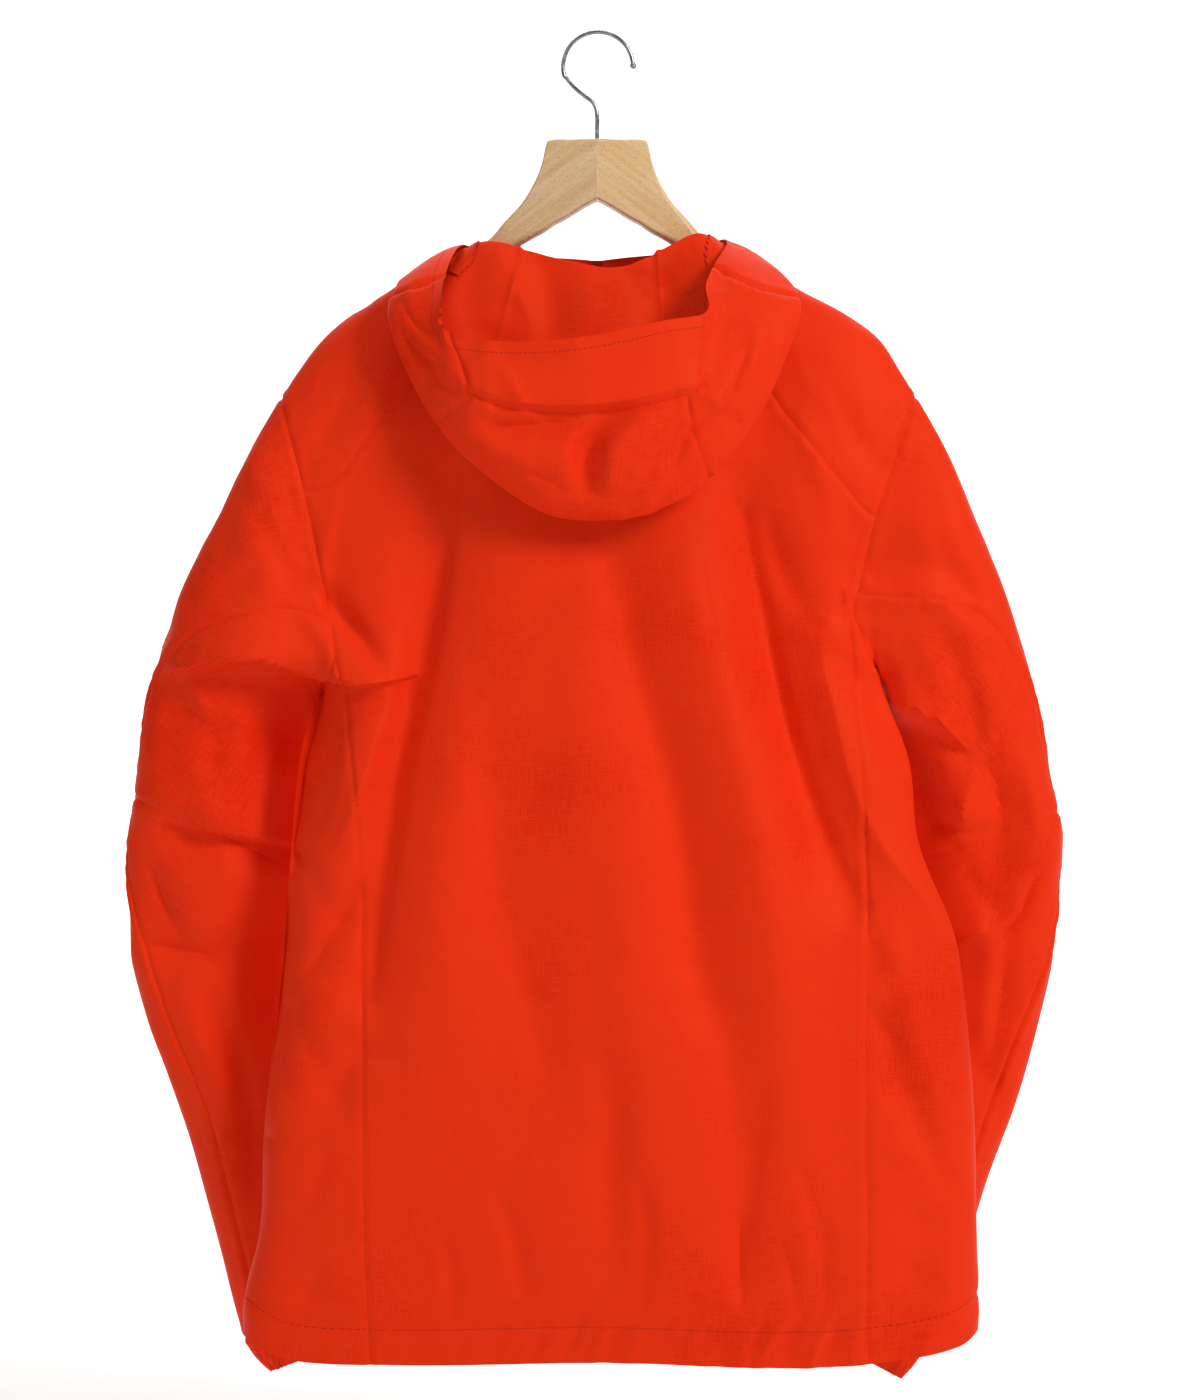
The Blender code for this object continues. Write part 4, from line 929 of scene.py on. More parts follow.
def makeSkin():
    grid, backGrid, frontGrid = makeBody()
    back, front = bodyColumns()
    y = yokeColumns
    left = makeYoke("left", backGrid[-1][: y + 1], frontGrid[-1][::-1][: y + 1])
    right = makeYoke("right", backGrid[-1][::-1][: y + 1], frontGrid[-1][: y + 1])
    half = yokeRows // 2
    sideLeft = grid[-1][back + sideColumns + front :]
    sideRight = grid[-1][back : back + sideColumns + 1]
    armholes = (
        ("left", left, backGrid[:, 0], sideLeft[:0:-1], frontGrid[:, -1]),
        ("right", right, backGrid[:, -1], sideRight[:-1], frontGrid[:, 0]),
    )
    for side, yoke, downBack, underArm, upFront in armholes:
        armhole = [yoke[half:0:-1, 0], downBack[:0:-1], underArm, upFront[:-1], yoke[:half:-1, 0]]
        makeSleeve(side, np.concatenate(armhole))
    neckFront, nape = frontGrid[-1][y:-y], backGrid[-1][y:-y]
    f = frontNeckColumns
    makeHood(np.concatenate([
        neckFront[f + 1 :], left[-2:0:-1, -1], nape, right[1:-1, -1], neckFront[: f + 1]]))


def subdivided(points, level):
    # the skin's mesh with its panels, cloth coordinates and weights, smoothed level times
    mesh = bpy.data.meshes.new("skin")
    mesh.from_pydata([tuple(p) for p in points], [], skin["cells"])
    cloth = mesh.uv_layers.new(name="cloth")
    cloth.data.foreach_set("uv", np.array(skin["cloth"], np.float32).ravel())
    mesh.attributes.new("panel", "INT", "FACE").data.foreach_set("value", panelOfCell)
    for name in weightNames:
        weight = mesh.attributes.new(name, "FLOAT", "POINT")
        weight.data.foreach_set("value", np.array(skin[name], np.float32))
    holder = bpy.data.objects.new("skin", mesh)
    bpy.context.scene.collection.objects.link(holder)
    smoothing = holder.modifiers.new("smooth", "SUBSURF")
    smoothing.levels = smoothing.render_levels = level
    done = holder.evaluated_get(bpy.context.evaluated_depsgraph_get()).to_mesh()
    smoothed = {
        "points": read(done.vertices, "co", 3),
        "panel": read(done.attributes["panel"].data, "value", 1, int),
        "faces": read(done.loops, "vertex_index", 1, int).reshape(-1, 4),
        "cloth": read(done.uv_layers["cloth"].data, "uv", 2).reshape(-1, 4, 2),
    }
    for name in weightNames:
        smoothed[name] = read(done.attributes[name].data, "value", 1)
    bpy.data.objects.remove(holder)
    return smoothed


def read(items, what, width, kind=float):
    values = np.zeros(len(items) * width, np.int32 if kind is int else np.float32)
    items.foreach_get(what, values)
    values = values.astype(kind)
    return values.reshape(-1, width) if width > 1 else values


def facingOf(points, faces):
    # each cell's normal, as long as twice its area
    a, b, c, d = (points[faces[:, i]] for i in range(4))
    return np.cross(c - a, d - b)


def unit(vectors):
    return vectors / np.maximum(np.linalg.norm(vectors, axis=1), 1e-12)[:, None]


def normalsOf(points, faces):
    normals = np.zeros_like(points)
    facing = facingOf(points, faces)
    for i in range(4):
        np.add.at(normals, faces[:, i], facing)
    return unit(normals)


def softNoise(points, shortest, longest, waves, seed, stretch=(1, 1, 1)):
    # a sum of plane waves, as a smooth noise between about -1 and 1
    chance = np.random.default_rng(seed)
    total = np.zeros(len(points))
    for _ in range(waves):
        way = chance.normal(size=3)
        way /= np.linalg.norm(way)
        step = chance.uniform(shortest, longest)
        run = (points / np.array(stretch)) @ way
        total += np.sin(run * 2 * math.pi / step + chance.uniform(0, 7))
    return total / math.sqrt(waves)


makeSkin()
panelNames = sorted(set(skin["panels"]))
panelOfCell = [panelNames.index(name) for name in skin["panels"]]
coarse = np.array(skin["points"]) * mm
# Smoothing draws a surface in from its points, so they first go out by as much as it would.
drawnIn = subdivided(coarse, 1)["points"][: len(coarse)]
fine = subdivided(2 * coarse - drawnIn, 3)
print("skin smoothed:", len(fine["points"]), "points")

# Finer folds than the solids have, read off the photograph in its pixels (1200 x 1400), with
# widths and heights in millimetres as above and the edge's shape last. Deep ones move the cloth
# along depth, the others along its own normal.
leftOverhang = (
    (176, 668), (205, 660), (240, 656), (262, 657), (290, 666), (324, 675), (342, 679), (398, 678))
deepFolds = (
    # the left arm's overhang, cut under sharply, and the hollow below it
    (leftOverhang, 26, 2.5, 14),
    (leftOverhang, 2.5, 20, -11),
    (((282, 672), (284, 750), (290, 850)), 30, 26, -27),
    (((262, 672), (296, 690), (316, 724)), 20, 24, -10),
    (((280, 880), (268, 960), (252, 1080)), 24, 28, -16),
    # the strip of the side panel that stands out beside it, a flat facet with a crisp edge
    (((396, 684), (383, 722), (365, 776), (344, 832)), 8, 26, 9, 1),
    (((452, 440), (442, 540), (424, 654), (402, 745), (389, 830), (378, 904), (366, 1000)), 8, 17, -11),
    # the right arm: the side panel's strip with its crisp edge, the slit, and the sleeve's edge
    (((822, 622), (822, 648), (836, 712), (854, 788), (884, 848), (926, 900), (962, 948)),
     24, 13, 8, 1),
    (((846, 650), (872, 700), (900, 750), (918, 796), (930, 838)), 14, 14, -6),
    (((851, 607), (866, 641), (890, 674), (908, 704), (931, 763), (946, 809), (962, 838)), 30, 6, 6),
    (((826, 614), (849, 604), (884, 592)), 16, 5, 3),
    (((880, 572), (920, 562), (960, 575), (980, 604)), 14, 12, -5),
    (((735, 470), (768, 600), (796, 720), (830, 800), (862, 880)), 20, 14, -6),
    # the back's long troughs, drawn tighter in the middle
    (((742, 510), (768, 640), (790, 740), (826, 840), (856, 909)), 8, 17, -10),
    (((600, 520), (640, 680), (668, 790), (690, 930), (706, 1010)), 14, 12, -4),
    (((693, 560), (732, 720), (764, 850), (790, 1000)), 22, 18, 4),
    (((470, 600), (480, 760), (505, 900), (540, 1060)), 18, 12, -2),
    (((880, 1015), (915, 1110), (945, 1190)), 10, 12, -3),
    (((906, 1205), (937, 1240)), 12, 14, -3),
    (((612, 1059), (610, 1180), (616, 1291)), 12, 12, -2),
    (((761, 1090), (752, 1180), (742, 1250)), 8, 10, -2),
)
fineFolds = (
    # left sleeve
    (((318, 590), (338, 618), (366, 652), (384, 668)), 10, 4, -5),
    (((300, 612), (322, 640), (340, 668)), 8, 6, 1.6),
    (((290, 545), (262, 560), (226, 590)), 10, 8, -1.6),
    (((214, 730), (209, 756), (203, 780)), 7, 6, -4, 1),
    (((186, 664), (196, 700), (212, 732)), 9, 9, 3.4, 1),
    (((160, 826), (178, 833), (232, 846), (292, 856)), 3, 12, -5),
    (((150, 790), (190, 812), (240, 822)), 10, 8, 1.4),
    (((137, 952), (168, 960), (204, 963)), 10, 5, -4, 1),
    (((138, 868), (150, 905), (172, 944)), 8, 8, -3, 1),
    (((196, 700), (232, 716), (246, 752)), 10, 10, 2),
    (((168, 1010), (206, 1080), (224, 1190)), 12, 10, 2),
    (((196, 1000), (236, 1090), (246, 1210)), 8, 10, -1.8),
    (((230, 480), (262, 520), (290, 590)), 10, 10, -1.6),
    (((330, 500), (322, 560), (318, 620)), 6, 8, 1.4),
    # left side panel
    (((357, 893), (330, 930), (306, 972)), 10, 8, -4.5, 1),
    (((360, 1045), (350, 1066), (337, 1080)), 5, 5, -1.8, 1),
    (((246, 1136), (262, 1141), (280, 1140)), 4, 5, -1.5, 1),
    (((325, 1266), (312, 1292), (294, 1310)), 6, 6, -1.6, 1),
    (((330, 1150), (316, 1186), (300, 1210)), 7, 7, -1.4),
    (((300, 860), (318, 900), (350, 930)), 9, 9, -1.6),
    (((286, 1010), (312, 1060), (350, 1120)), 9, 9, -1.4),
    # right sleeve
    (((900, 698), (940, 716), (986, 760)), 11, 9, 4.5, 1),
    (((914, 724), (950, 748), (984, 762)), 9, 9, -4.5, 1),
    (((986, 760), (972, 800), (966, 836)), 8, 8, 3.6, 1),
    (((988, 762), (1002, 790), (1008, 830)), 8, 8, -3, 1),
    (((988, 762), (1014, 738), (1040, 730)), 7, 7, -2.6, 1),
    (((940, 824), (968, 836), (1006, 834)), 8, 8, -3, 1),
    (((1013, 942), (1030, 920), (1046, 880)), 7, 6, -3, 1),
    (((1013, 942), (998, 910), (976, 880)), 8, 8, -3.4, 1),
    (((1013, 942), (1012, 1000), (1004, 1060)), 9, 9, -3, 1),
    (((1013, 942), (990, 936), (966, 950)), 8, 8, 3, 1),
    (((924, 640), (948, 700), (960, 770)), 9, 9, 2),
    (((948, 632), (976, 700), (984, 752)), 7, 7, -1.8),
    (((880, 600), (930, 596), (985, 640)), 8, 8, 1.6),
    (((934, 500), (950, 560), (990, 620)), 10, 10, -1.6),
    (((1020, 848), (1006, 862), (972, 872)), 8, 6, -1.6, 1),
    (((985, 870), (1000, 960), (990, 1060)), 9, 9, 1.8),
    (((1030, 760), (1040, 800), (1046, 840)), 6, 6, 1.4),
    # right side panel
    (((870, 917), (874, 950), (876, 985)), 5, 5, -2, 1),
    (((868, 1000), (878, 1020), (896, 1042)), 5, 5, -1.6, 1),
    (((890, 935), (908, 990), (914, 1060)), 8, 8, 1.6),
    (((880, 1096), (908, 1150), (930, 1180)), 8, 8, 1.4),
    (((900, 1262), (930, 1290), (952, 1300)), 6, 6, -1.6, 1),
    # back
    (((741, 1216), (740, 1260), (742, 1304)), 5, 6, -2.6, 1),
    (((770, 522), (784, 566), (801, 606)), 8, 8, -1.8),
    (((700, 560), (706, 590), (718, 640)), 6, 8, -1.2, 1),
    (((420, 520), (404, 560), (396, 610)), 8, 8, -1.2),
    (((500, 1190), (516, 1250), (524, 1300)), 8, 8, -1.2),
    (((640, 1180), (648, 1240), (640, 1310)), 7, 8, -1.4),
    (((800, 1170), (820, 1230), (826, 1300)), 8, 8, -1.4),
    (((780, 1240), (792, 1280), (800, 1316)), 6, 6, -1.3, 1),
    (((440, 1230), (452, 1280), (450, 1316)), 7, 7, -1.0),
    # shoulders
    (((352, 380), (330, 420), (300, 470)), 10, 8, -1.4),
    (((400, 340), (380, 380), (362, 430)), 8, 8, 1.2),
    (((838, 400), (862, 440), (896, 480)), 9, 9, -1.4),
    (((800, 420), (822, 470), (836, 540)), 9, 9, 1.4),
)
bagDetail = (
    # the visor stands a little over the bag below its seam
    (((471, 392), (524, 409), (612, 409), (702, 389)), 16, 1.5, 3),
    (((471, 396), (524, 414), (612, 414), (702, 394)), 3, 8, -2.5),
    (((456, 332), (462, 362), (472, 394)), 3, 7, -2.5, 1),
    (((707, 312), (706, 350), (701, 391)), 7, 3, -2.5, 1),
    (((486, 431), (530, 427), (578, 424)), 4, 9, -5, 1),
    (((624, 416), (600, 430), (586, 455), (590, 494)), 10, 8, -6),
    (((640, 430), (612, 452), (604, 490)), 8, 6, 2),
    (((725, 416), (700, 430), (676, 470)), 8, 8, -4, 1),
    (((725, 416), (738, 390), (746, 350)), 8, 7, -4, 1),
    (((725, 416), (742, 426), (752, 420)), 4, 4, -1.8, 1),
    (((725, 416), (706, 400), (680, 396)), 6, 6, 3, 1),
    (((400, 302), (414, 324), (440, 342)), 6, 6, -4, 1),
    (((398, 332), (412, 354), (440, 370)), 6, 6, -3.4, 1),
    (((420, 360), (440, 386), (466, 404)), 7, 6, -1.8),
    (((440, 400), (476, 440), (520, 468)), 8, 8, 1.6),
    (((500, 470), (540, 482), (574, 500)), 6, 6, -1.4, 1),
    (((640, 492), (652, 470), (662, 446)), 6, 5, -1.6, 1),
    (((712, 470), (738, 440), (760, 396)), 8, 8, 1.6),
    (((752, 300), (768, 330), (776, 372)), 8, 8, -1.6),
    (((560, 360), (600, 372), (660, 362)), 12, 12, -1.2),
)
# The hood's far wall, seen over the visor
farWall = (
    (((497, 244), (520, 290), (536, 338)), 14, 30, 9, 1),
    (((440, 336), (500, 342), (560, 348), (640, 348), (720, 330)), 62, 30, -9),
    (((550, 266), (556, 300), (560, 345)), 60, 12, -5),
    (((520, 246), (578, 268), (650, 278)), 6, 20, -7),
    (((560, 270), (610, 300), (640, 335)), 14, 14, 4),
    (((450, 322), (490, 316), (530, 338)), 4, 10, 3, 1),
    (((690, 250), (668, 290), (650, 318)), 16, 20, -6),
    (((470, 262), (462, 300), (466, 326)), 12, 10, -6),
)
frontDetail = (
    (((430, 420), (440, 600), (436, 800)), 12, 10, -2),
    (((770, 430), (756, 620), (764, 830)), 10, 12, -2),
    (((360, 560), (400, 640), (420, 760)), 8, 8, -1.6, 1),
    (((850, 560), (812, 640), (792, 760)), 8, 8, -1.6, 1),
    (((380, 980), (420, 1060), (440, 1180)), 10, 10, 1.6),
    (((820, 960), (790, 1060), (770, 1200)), 10, 10, 1.6),
    (((200, 640), (240, 700), (262, 780)), 8, 8, -1.8),
    (((1000, 640), (960, 710), (944, 790)), 8, 8, -1.8),
)
# The left overhang's edge, over which the cloth above sags: from how far up, and how far down.
sags = (
    (((176, 664), (205, 657), (240, 652), (262, 653), (290, 662), (324, 671), (342, 675), (398, 674)),
     18, 2.5, 8),
)
photograph = {
    "middle": (600, 700),  # its middle pixel
    "at": (2, 472.7),  # x and drop there
    "scale": 0.71,  # millimetres to a pixel at the hanger's depth
    "camera": 3000,  # millimetres from the camera to the hanger
    "nearer": 50,  # how much nearer to it the back's surface is
}


def onCloth(folds):
    # photograph pixels to millimetres at the depth of the back
    (middleX, middleY), (x, drop) = photograph["middle"], photograph["at"]
    scale = photograph["scale"] * (photograph["camera"] - photograph["nearer"]) / photograph["camera"]
    moved = []
    for path, *rest in folds:
        spots = [(x + (px - middleX) * scale, drop + (py - middleY) * scale) for px, py in path]
        moved.append((spots, *rest))
    return moved


hang = {
    "facing": 1.7,  # how soon a turned surface takes all of a fold
    "roundTheEdge": 0.3,  # how far the deep folds reach round the silhouette
    "fine": 1.8,  # the low folds are drawn higher than read, so that they show
    "fineOnSleeve": 0.3,
    "bag": 2.2,
    "waves": 0.35,
    "creases": 1.8,
    "looseOnSleeve": 0.6,
    "looseOnHood": 0.4,
    "calmBack": 0.85,  # how much of the creases the back's middle goes without
    "calmHalf": 150,
}
# Where the far wall's folds fade out: before the hood's sides, before the zip, which keeps the
# cloth flat, and behind the wall.
wallEnds = {
    "side": 106,
    "sideFade": 24,
    "zip": 4,
    "zipFade": 50,
    "behind": 64.4,
    "behindFade": 14,
    "low": 240,
}


def insideHood(x, depth, drop):
    # how much of the far wall's folds each point takes, rising softly away from the zip
    fromZip = np.clip((np.abs(x) - wallEnds["zip"]) / wallEnds["zipFade"], 0, 1)
    share = fine["hood"] * (1 - fine["bag"]) * fromZip**2 * (3 - 2 * fromZip)
    share *= np.clip((wallEnds["side"] - np.abs(x)) / wallEnds["sideFade"], 0, 1)
    share *= np.clip((depth + wallEnds["behind"]) / wallEnds["behindFade"], 0, 1)
    return share * (drop < wallEnds["low"])


def foldSkin():
    points, faces = fine["points"], fine["faces"]
    x, drop = points[:, 0] / mm, -points[:, 2] / mm
    smoothNormals = normalsOf(points, faces)
    facing = hang["facing"] * smoothNormals[:, 1]
    facingBack, facingFront = np.clip(-facing, 0, 1), np.clip(facing, 0, 1)
    # the solids' own folds, along depth as they are there, and the deep ones
    points[:, 1] -= mm * fine["back"] * foldHeight(backFolds, x, drop)
    towardBack = np.clip(hang["roundTheEdge"] - facing, 0, 1) * (1 - fine["hood"])
    points[:, 1] -= mm * towardBack * foldHeight(onCloth(deepFolds), x, drop)
    points[:, 2] -= mm * towardBack * foldHeight(onCloth(sags), x, drop)
    points[:, 1] += mm * fine["front"] * foldHeight(frontFolds, x, drop)
    points[:, 1] -= mm * fine["bag"] * foldHeight(hoodFolds, x, drop)
    # the finer ones, along the surface's normal
    onHood = fine["hood"]
    offHood = 1 - onHood
    strength = hang["fine"] + hang["fineOnSleeve"] * fine["sleeve"]
    rise = strength * offHood * facingBack * foldHeight(onCloth(fineFolds), x, drop)
    rise += hang["bag"] * fine["bag"] * facingBack * foldHeight(onCloth(bagDetail), x, drop)
    rise += offHood * facingFront * foldHeight(onCloth(frontDetail), x, drop)
    inside = insideHood(x, points[:, 1] / mm, drop)
    points[:, 1] -= mm * inside * foldHeight(onCloth(farWall), x, drop)
    # long soft waves that run down the cloth, and a small crumple, stronger on the sleeves
    loose = 1 + hang["looseOnSleeve"] * fine["sleeve"] + hang["looseOnHood"] * onHood
    rise += hang["waves"] * loose * softNoise(points, 0.030, 0.070, 26, 4, (1, 1, 3.2))
    # creases: the crests of a slow noise, only where another one lets them be
    crests = np.abs(softNoise(points, 0.030, 0.060, 9, 9, (1, 1, 2.0)))
    patches = np.clip(softNoise(points, 0.10, 0.22, 9, 15) - 0.1, 0, 1)
    # the back's middle hangs smooth
    middle = fine["back"] * (1 - fine["sleeve"]) * np.exp(-((x / hang["calmHalf"]) ** 4))
    patches *= 1 - hang["calmBack"] * middle
    rise += hang["creases"] * loose * patches * (0.4 - np.minimum(crests, 0.8))
    points += smoothNormals * (rise * mm)[:, None]


def seamPoints():
    # the points and the edges where two panels meet, the cloth's open edges, and which panels
    # have each edge
    panelsAt = [set() for _ in range(len(fine["points"]))]
    edgeUse = {}
    for face, panel in zip(fine["faces"].tolist(), fine["panel"].tolist()):
        for i in range(4):
            panelsAt[face[i]].add(panel)
            edge = (face[i], face[(i + 1) % 4])
            key = (min(edge), max(edge))
            edgeUse.setdefault(key, []).append((panel, edge))
    seams = [i for i, found in enumerate(panelsAt) if len(found) > 1]
    openEdges = [uses[0][1] for uses in edgeUse.values() if len(uses) == 1]
    seamEdges = [key for key, uses in edgeUse.items() if len(uses) == 2 and uses[0][0] != uses[1][0]]
    return seams, openEdges, seamEdges, edgeUse


def distanceTo(targets, points):
    tree = KDTree(len(targets))
    for i, target in enumerate(targets):
        tree.insert(target, i)
    tree.balance()
    return np.array([tree.find(point)[2] for point in points])


foldSkin()
seams, openEdges, seamEdges, edgeUse = seamPoints()
fromSeam = distanceTo(fine["points"][seams], fine["points"])
openPoints = sorted({i for edge in openEdges for i in edge})
fromEdge = distanceTo(fine["points"][openPoints], fine["points"])
print("folds laid:", len(seams), "seam points,", len(openPoints), "edge points")


def sewSeams():
    # Each seam sits in a shallow groove with its allowance raised beside it, and puckers it.
    sewn = {
        "groove": 1.1,
        "grooveWide": 1.5 * mm,
        "raised": 0.35,
        "raisedAt": 4.5 * mm,
        "raisedWide": 2.4 * mm,
        "pucker": 0.35,
        "puckerReach": 10 * mm,
    }
    # the hem's channel, and the gathers above it, strongest at these x and over these reaches
    hem = {
        "top": -0.88,
        "wide": 26 * mm,
        "groove": 1.2,
        "grooveWide": 1.3 * mm,
        "gather": 1.7,
        "gatherAt": 15 * mm,
        "gatherReach": 16 * mm,
        "strength": 0.35,
        "stronger": ((0.135, 0.06, 1.1), (0.0, 0.05, 0.7)),
    }
    points = fine["points"]
    normals = normalsOf(points, fine["faces"])
    rise = -sewn["groove"] * np.exp(-((fromSeam / sewn["grooveWide"]) ** 2))
    rise += sewn["raised"] * np.exp(-(((fromSeam - sewn["raisedAt"]) / sewn["raisedWide"]) ** 2))
    ripple = softNoise(points, 0.007, 0.014, 24, 21)
    rise += sewn["pucker"] * ripple * np.exp(-((fromSeam / sewn["puckerReach"]) ** 2))
    x, z = points[:, 0], points[:, 2]
    above = np.where((z < hem["top"]) & (fine["sleeve"] < 0.5), fromEdge, 1.0)
    rise -= hem["groove"] * np.exp(-(((above - hem["wide"]) / hem["grooveWide"]) ** 2))
    strong = hem["strength"]
    for middle, reach, more in hem["stronger"]:
        strong = strong + more * np.exp(-(((x - middle) / reach) ** 2))
    slanted = softNoise(np.stack([x - 0.5 * above, 0 * x, 0.15 * above], axis=1), 0.008, 0.022, 20, 33)
    near = np.exp(-(((above - hem["gatherAt"]) / hem["gatherReach"]) ** 2))
    rise += hem["gather"] * strong * slanted * near
    points += normals * (rise * mm)[:, None]


def gatherCuffs():
    # elastic runs round each cuff and draws it into small upright ribs
    cuff = {"ribs": 44, "deep": 0.7 * mm}
    for side in ("left", "right"):
        here = np.unique(fine["faces"][fine["panel"] == panelNames.index("cuff_" + side)])
        ring = fine["points"][here]
        middle = ring.mean(axis=0)
        away = ring - middle
        turn = np.arctan2(away[:, 1], away[:, 0])
        normals = normalsOf(fine["points"], fine["faces"])[here]
        fine["points"][here] += normals * (cuff["deep"] * np.cos(cuff["ribs"] * turn))[:, None]


sewSeams()
gatherCuffs()
fineNormals = normalsOf(fine["points"], fine["faces"])
print("seams and gathers sewn")


def creasedNormals(points, faces, panel):
    # each cell corner's normal, shared with the cells there that turn away from it only a little,
    # and less across a seam
    sharpFold, sharpSeam = math.cos(math.radians(36)), math.cos(math.radians(20))
    facing = facingOf(points, faces)
    flat = unit(facing)
    corners = faces.ravel()
    order = np.argsort(corners, kind="stable")
    starts = np.searchsorted(corners[order], np.arange(len(points) + 1))
    total = np.zeros((len(corners), 3))
    mine = np.repeat(np.arange(len(faces)), 4)
    for k in range(int(np.diff(starts).max())):
        spot = starts[corners] + k
        there = spot < starts[corners + 1]
        other = order[np.minimum(spot, len(corners) - 1)] // 4
        limit = np.where(panel[mine] == panel[other], sharpFold, sharpSeam)
        near = there & ((flat[mine] * flat[other]).sum(axis=1) > limit)
        total += facing[other] * near[:, None]
    return unit(total).reshape(-1, 4, 3)


cornerNormals = creasedNormals(fine["points"], fine["faces"], fine["panel"])

turned = {"hem": 26 * mm, "cuff": 12 * mm, "hood": 15 * mm, "collar": 15 * mm, "thick": 1.3 * mm}


def makePanel(index, name):
    mine = fine["panel"] == index
    outer, uvs, turns = fine["faces"][mine], fine["cloth"][mine], cornerNormals[mine]
    used = np.unique(outer)
    place = {int(v): i for i, v in enumerate(used)}
    allPoints = list(fine["points"][used])
    allNormals = list(turns.reshape(-1, 3))
    allFaces = [[place[int(v)] for v in face] for face in outer]
    allUvs = [list(map(tuple, uv)) for uv in uvs]
    # the turned edge: a rounded fold, and the cloth's return on the inside
    width = turned.get(name.split("_")[0], turned["hem"])
    inside = np.all(fromEdge[outer] < width, axis=1)
    copies = {}
    for face, uv, turn in zip(outer[inside].tolist(), uvs[inside].tolist(), turns[inside]):
        for v in face:
            if v not in copies:
                copies[v] = len(allPoints)
                allPoints.append(fine["points"][v] - fineNormals[v] * turned["thick"])
        allNormals += list(-turn[::-1])
        allFaces.append([copies[v] for v in face][::-1])
        allUvs.append([tuple(c) for c in uv][::-1])
    # the fold itself, whose cells all take the same small patch of the weave
    patch = [(0, 0), (0.003, 0), (0.003, 0.0015), (0, 0.0015)]
    for a, b in openEdges:
        if a in copies and b in copies:
            allFaces.append([place[b], place[a], copies[a], copies[b]])
            allNormals += [fineNormals[b], fineNormals[a], -fineNormals[a], -fineNormals[b]]
            allUvs.append(patch)
    isTape = name == "zip_tape"
    panel = meshObject(
        "cloth_" + name, allPoints, allFaces, tapeWeave if isTape else shell, uvs=allUvs)
    panel.data.normals_split_custom_set([tuple(n) for n in allNormals])
    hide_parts(name)


for index, name in enumerate(panelNames):
    makePanel(index, name)
print("panels made:", len(panelNames))


topstitch = {
    "beside": 2.0 * mm,  # from the seam to its topstitching
    "share": 0.62,  # of a stitch's pitch that its thread lies on top
    "thick": 0.3 * mm,  # the radius, twice the real thread's so that it shows
    "least": 0.8 * mm,  # a shorter one is left out
    "hemLine": 25 * mm,
    "hemTop": -0.85,
    "hoodLine": 8 * mm,
}
# The hood's far wall, whose stitches lie on its other face: its half width, its foot, and its
# depths.
unstitched = {"half": 0.105, "foot": -0.235, "near": -0.075, "far": -0.005}
# A seam's topstitching runs on the panel that comes first here.
stitchedFirst = (
    "hood_visor", "hood_crown", "hood_side", "collar", "yoke", "back", "side", "front",
    "sleeve_top", "sleeve_back_upper", "sleeve_back_lower", "cuff", "zip_tape",
)


def stitchRank(panel):
    name = panelNames[panel]
    return next(i for i, start in enumerate(stitchedFirst) if name.startswith(start))


def contour(values, level, mask):
    # where each cell is crossed by the line on which a value has a level: two ends and a normal
    found = []
    points, faces = fine["points"], fine["faces"]
    for face in faces[mask[faces].all(axis=1)].tolist():
        ends = []
        for a, b in zip(face, face[1:] + face[:1]):
            if (values[a] - level) * (values[b] - level) < 0:
                share = (level - values[a]) / (values[b] - values[a])
                ends.append(points[a] + share * (points[b] - points[a]))
        if len(ends) == 2:
            found.append((ends[0], ends[1], fineNormals[face[0]]))
    return found


def onFarWall(spot):
    wide = abs(spot[0]) < unstitched["half"]
    return wide and spot[2] > unstitched["foot"] and unstitched["near"] < spot[1] < unstitched["far"]


def makeStitches():
    runs = []
    points = fine["points"]
    for key in seamEdges:
        _, (a, b) = min(edgeUse[key], key=lambda use: stitchRank(use[0]))
        normal = fineNormals[a] + fineNormals[b]
        normal /= np.linalg.norm(normal)
        inward = np.cross(normal, points[b] - points[a])
        inward *= topstitch["beside"] / max(np.linalg.norm(inward), 1e-9)
        runs.append((points[a] + inward, points[b] + inward, normal))
    lowBody = (points[:, 2] < topstitch["hemTop"]) & (fine["sleeve"] < 0.5)
    runs += contour(fromEdge, topstitch["hemLine"], lowBody)
    runs += contour(fromEdge, topstitch["hoodLine"], fine["hood"] > 0.9)
    sides = [(math.cos(t), math.sin(t)) for t in (0, math.pi / 2, math.pi, 3 * math.pi / 2)]
    allPoints, allFaces = [], []
    for start, end, normal in runs:
        middle, run = (start + end) / 2, (end - start) * topstitch["share"]
        length = np.linalg.norm(run)
        if onFarWall(start) or length < topstitch["least"]:
            continue
        side = np.cross(normal, run / length)
        middle = middle + normal * topstitch["thick"] * 0.3
        first = len(allPoints)
        for place in (-0.3, 0.3):
            for c, s in sides:
                allPoints.append(middle + run * place + topstitch["thick"] * (c * side + s * normal))
        allPoints.append(middle - run * 0.5)
        allPoints.append(middle + run * 0.5)
        for i in range(4):
            j = (i + 1) % 4
            allFaces.append((first + i, first + j, first + 4 + j, first + 4 + i))
            allFaces.append((first + j, first + i, first + 8))
            allFaces.append((first + 4 + i, first + 4 + j, first + 9))
    stitches = meshObject("topstitching", allPoints, allFaces, thread)
    print("stitches sewn:", len(allPoints) // 10)


makeStitches()

teeth = {
    "pitch": 1.6 * mm,
    "reach": 1.5 * mm,  # from the zip's middle to a tooth's outer end
    "wide": 0.76 * mm,
    "high": 0.9 * mm,
    # a loop of the coil, low at both ends and crowned between, in shares of these: its reach,
    # its height, and half its width
    "loop": ((-0.35, 0.1, 0.4), (0.1, 0.8, 0.5), (0.7, 1.0, 0.5), (1.0, 0.15, 0.4)),
}


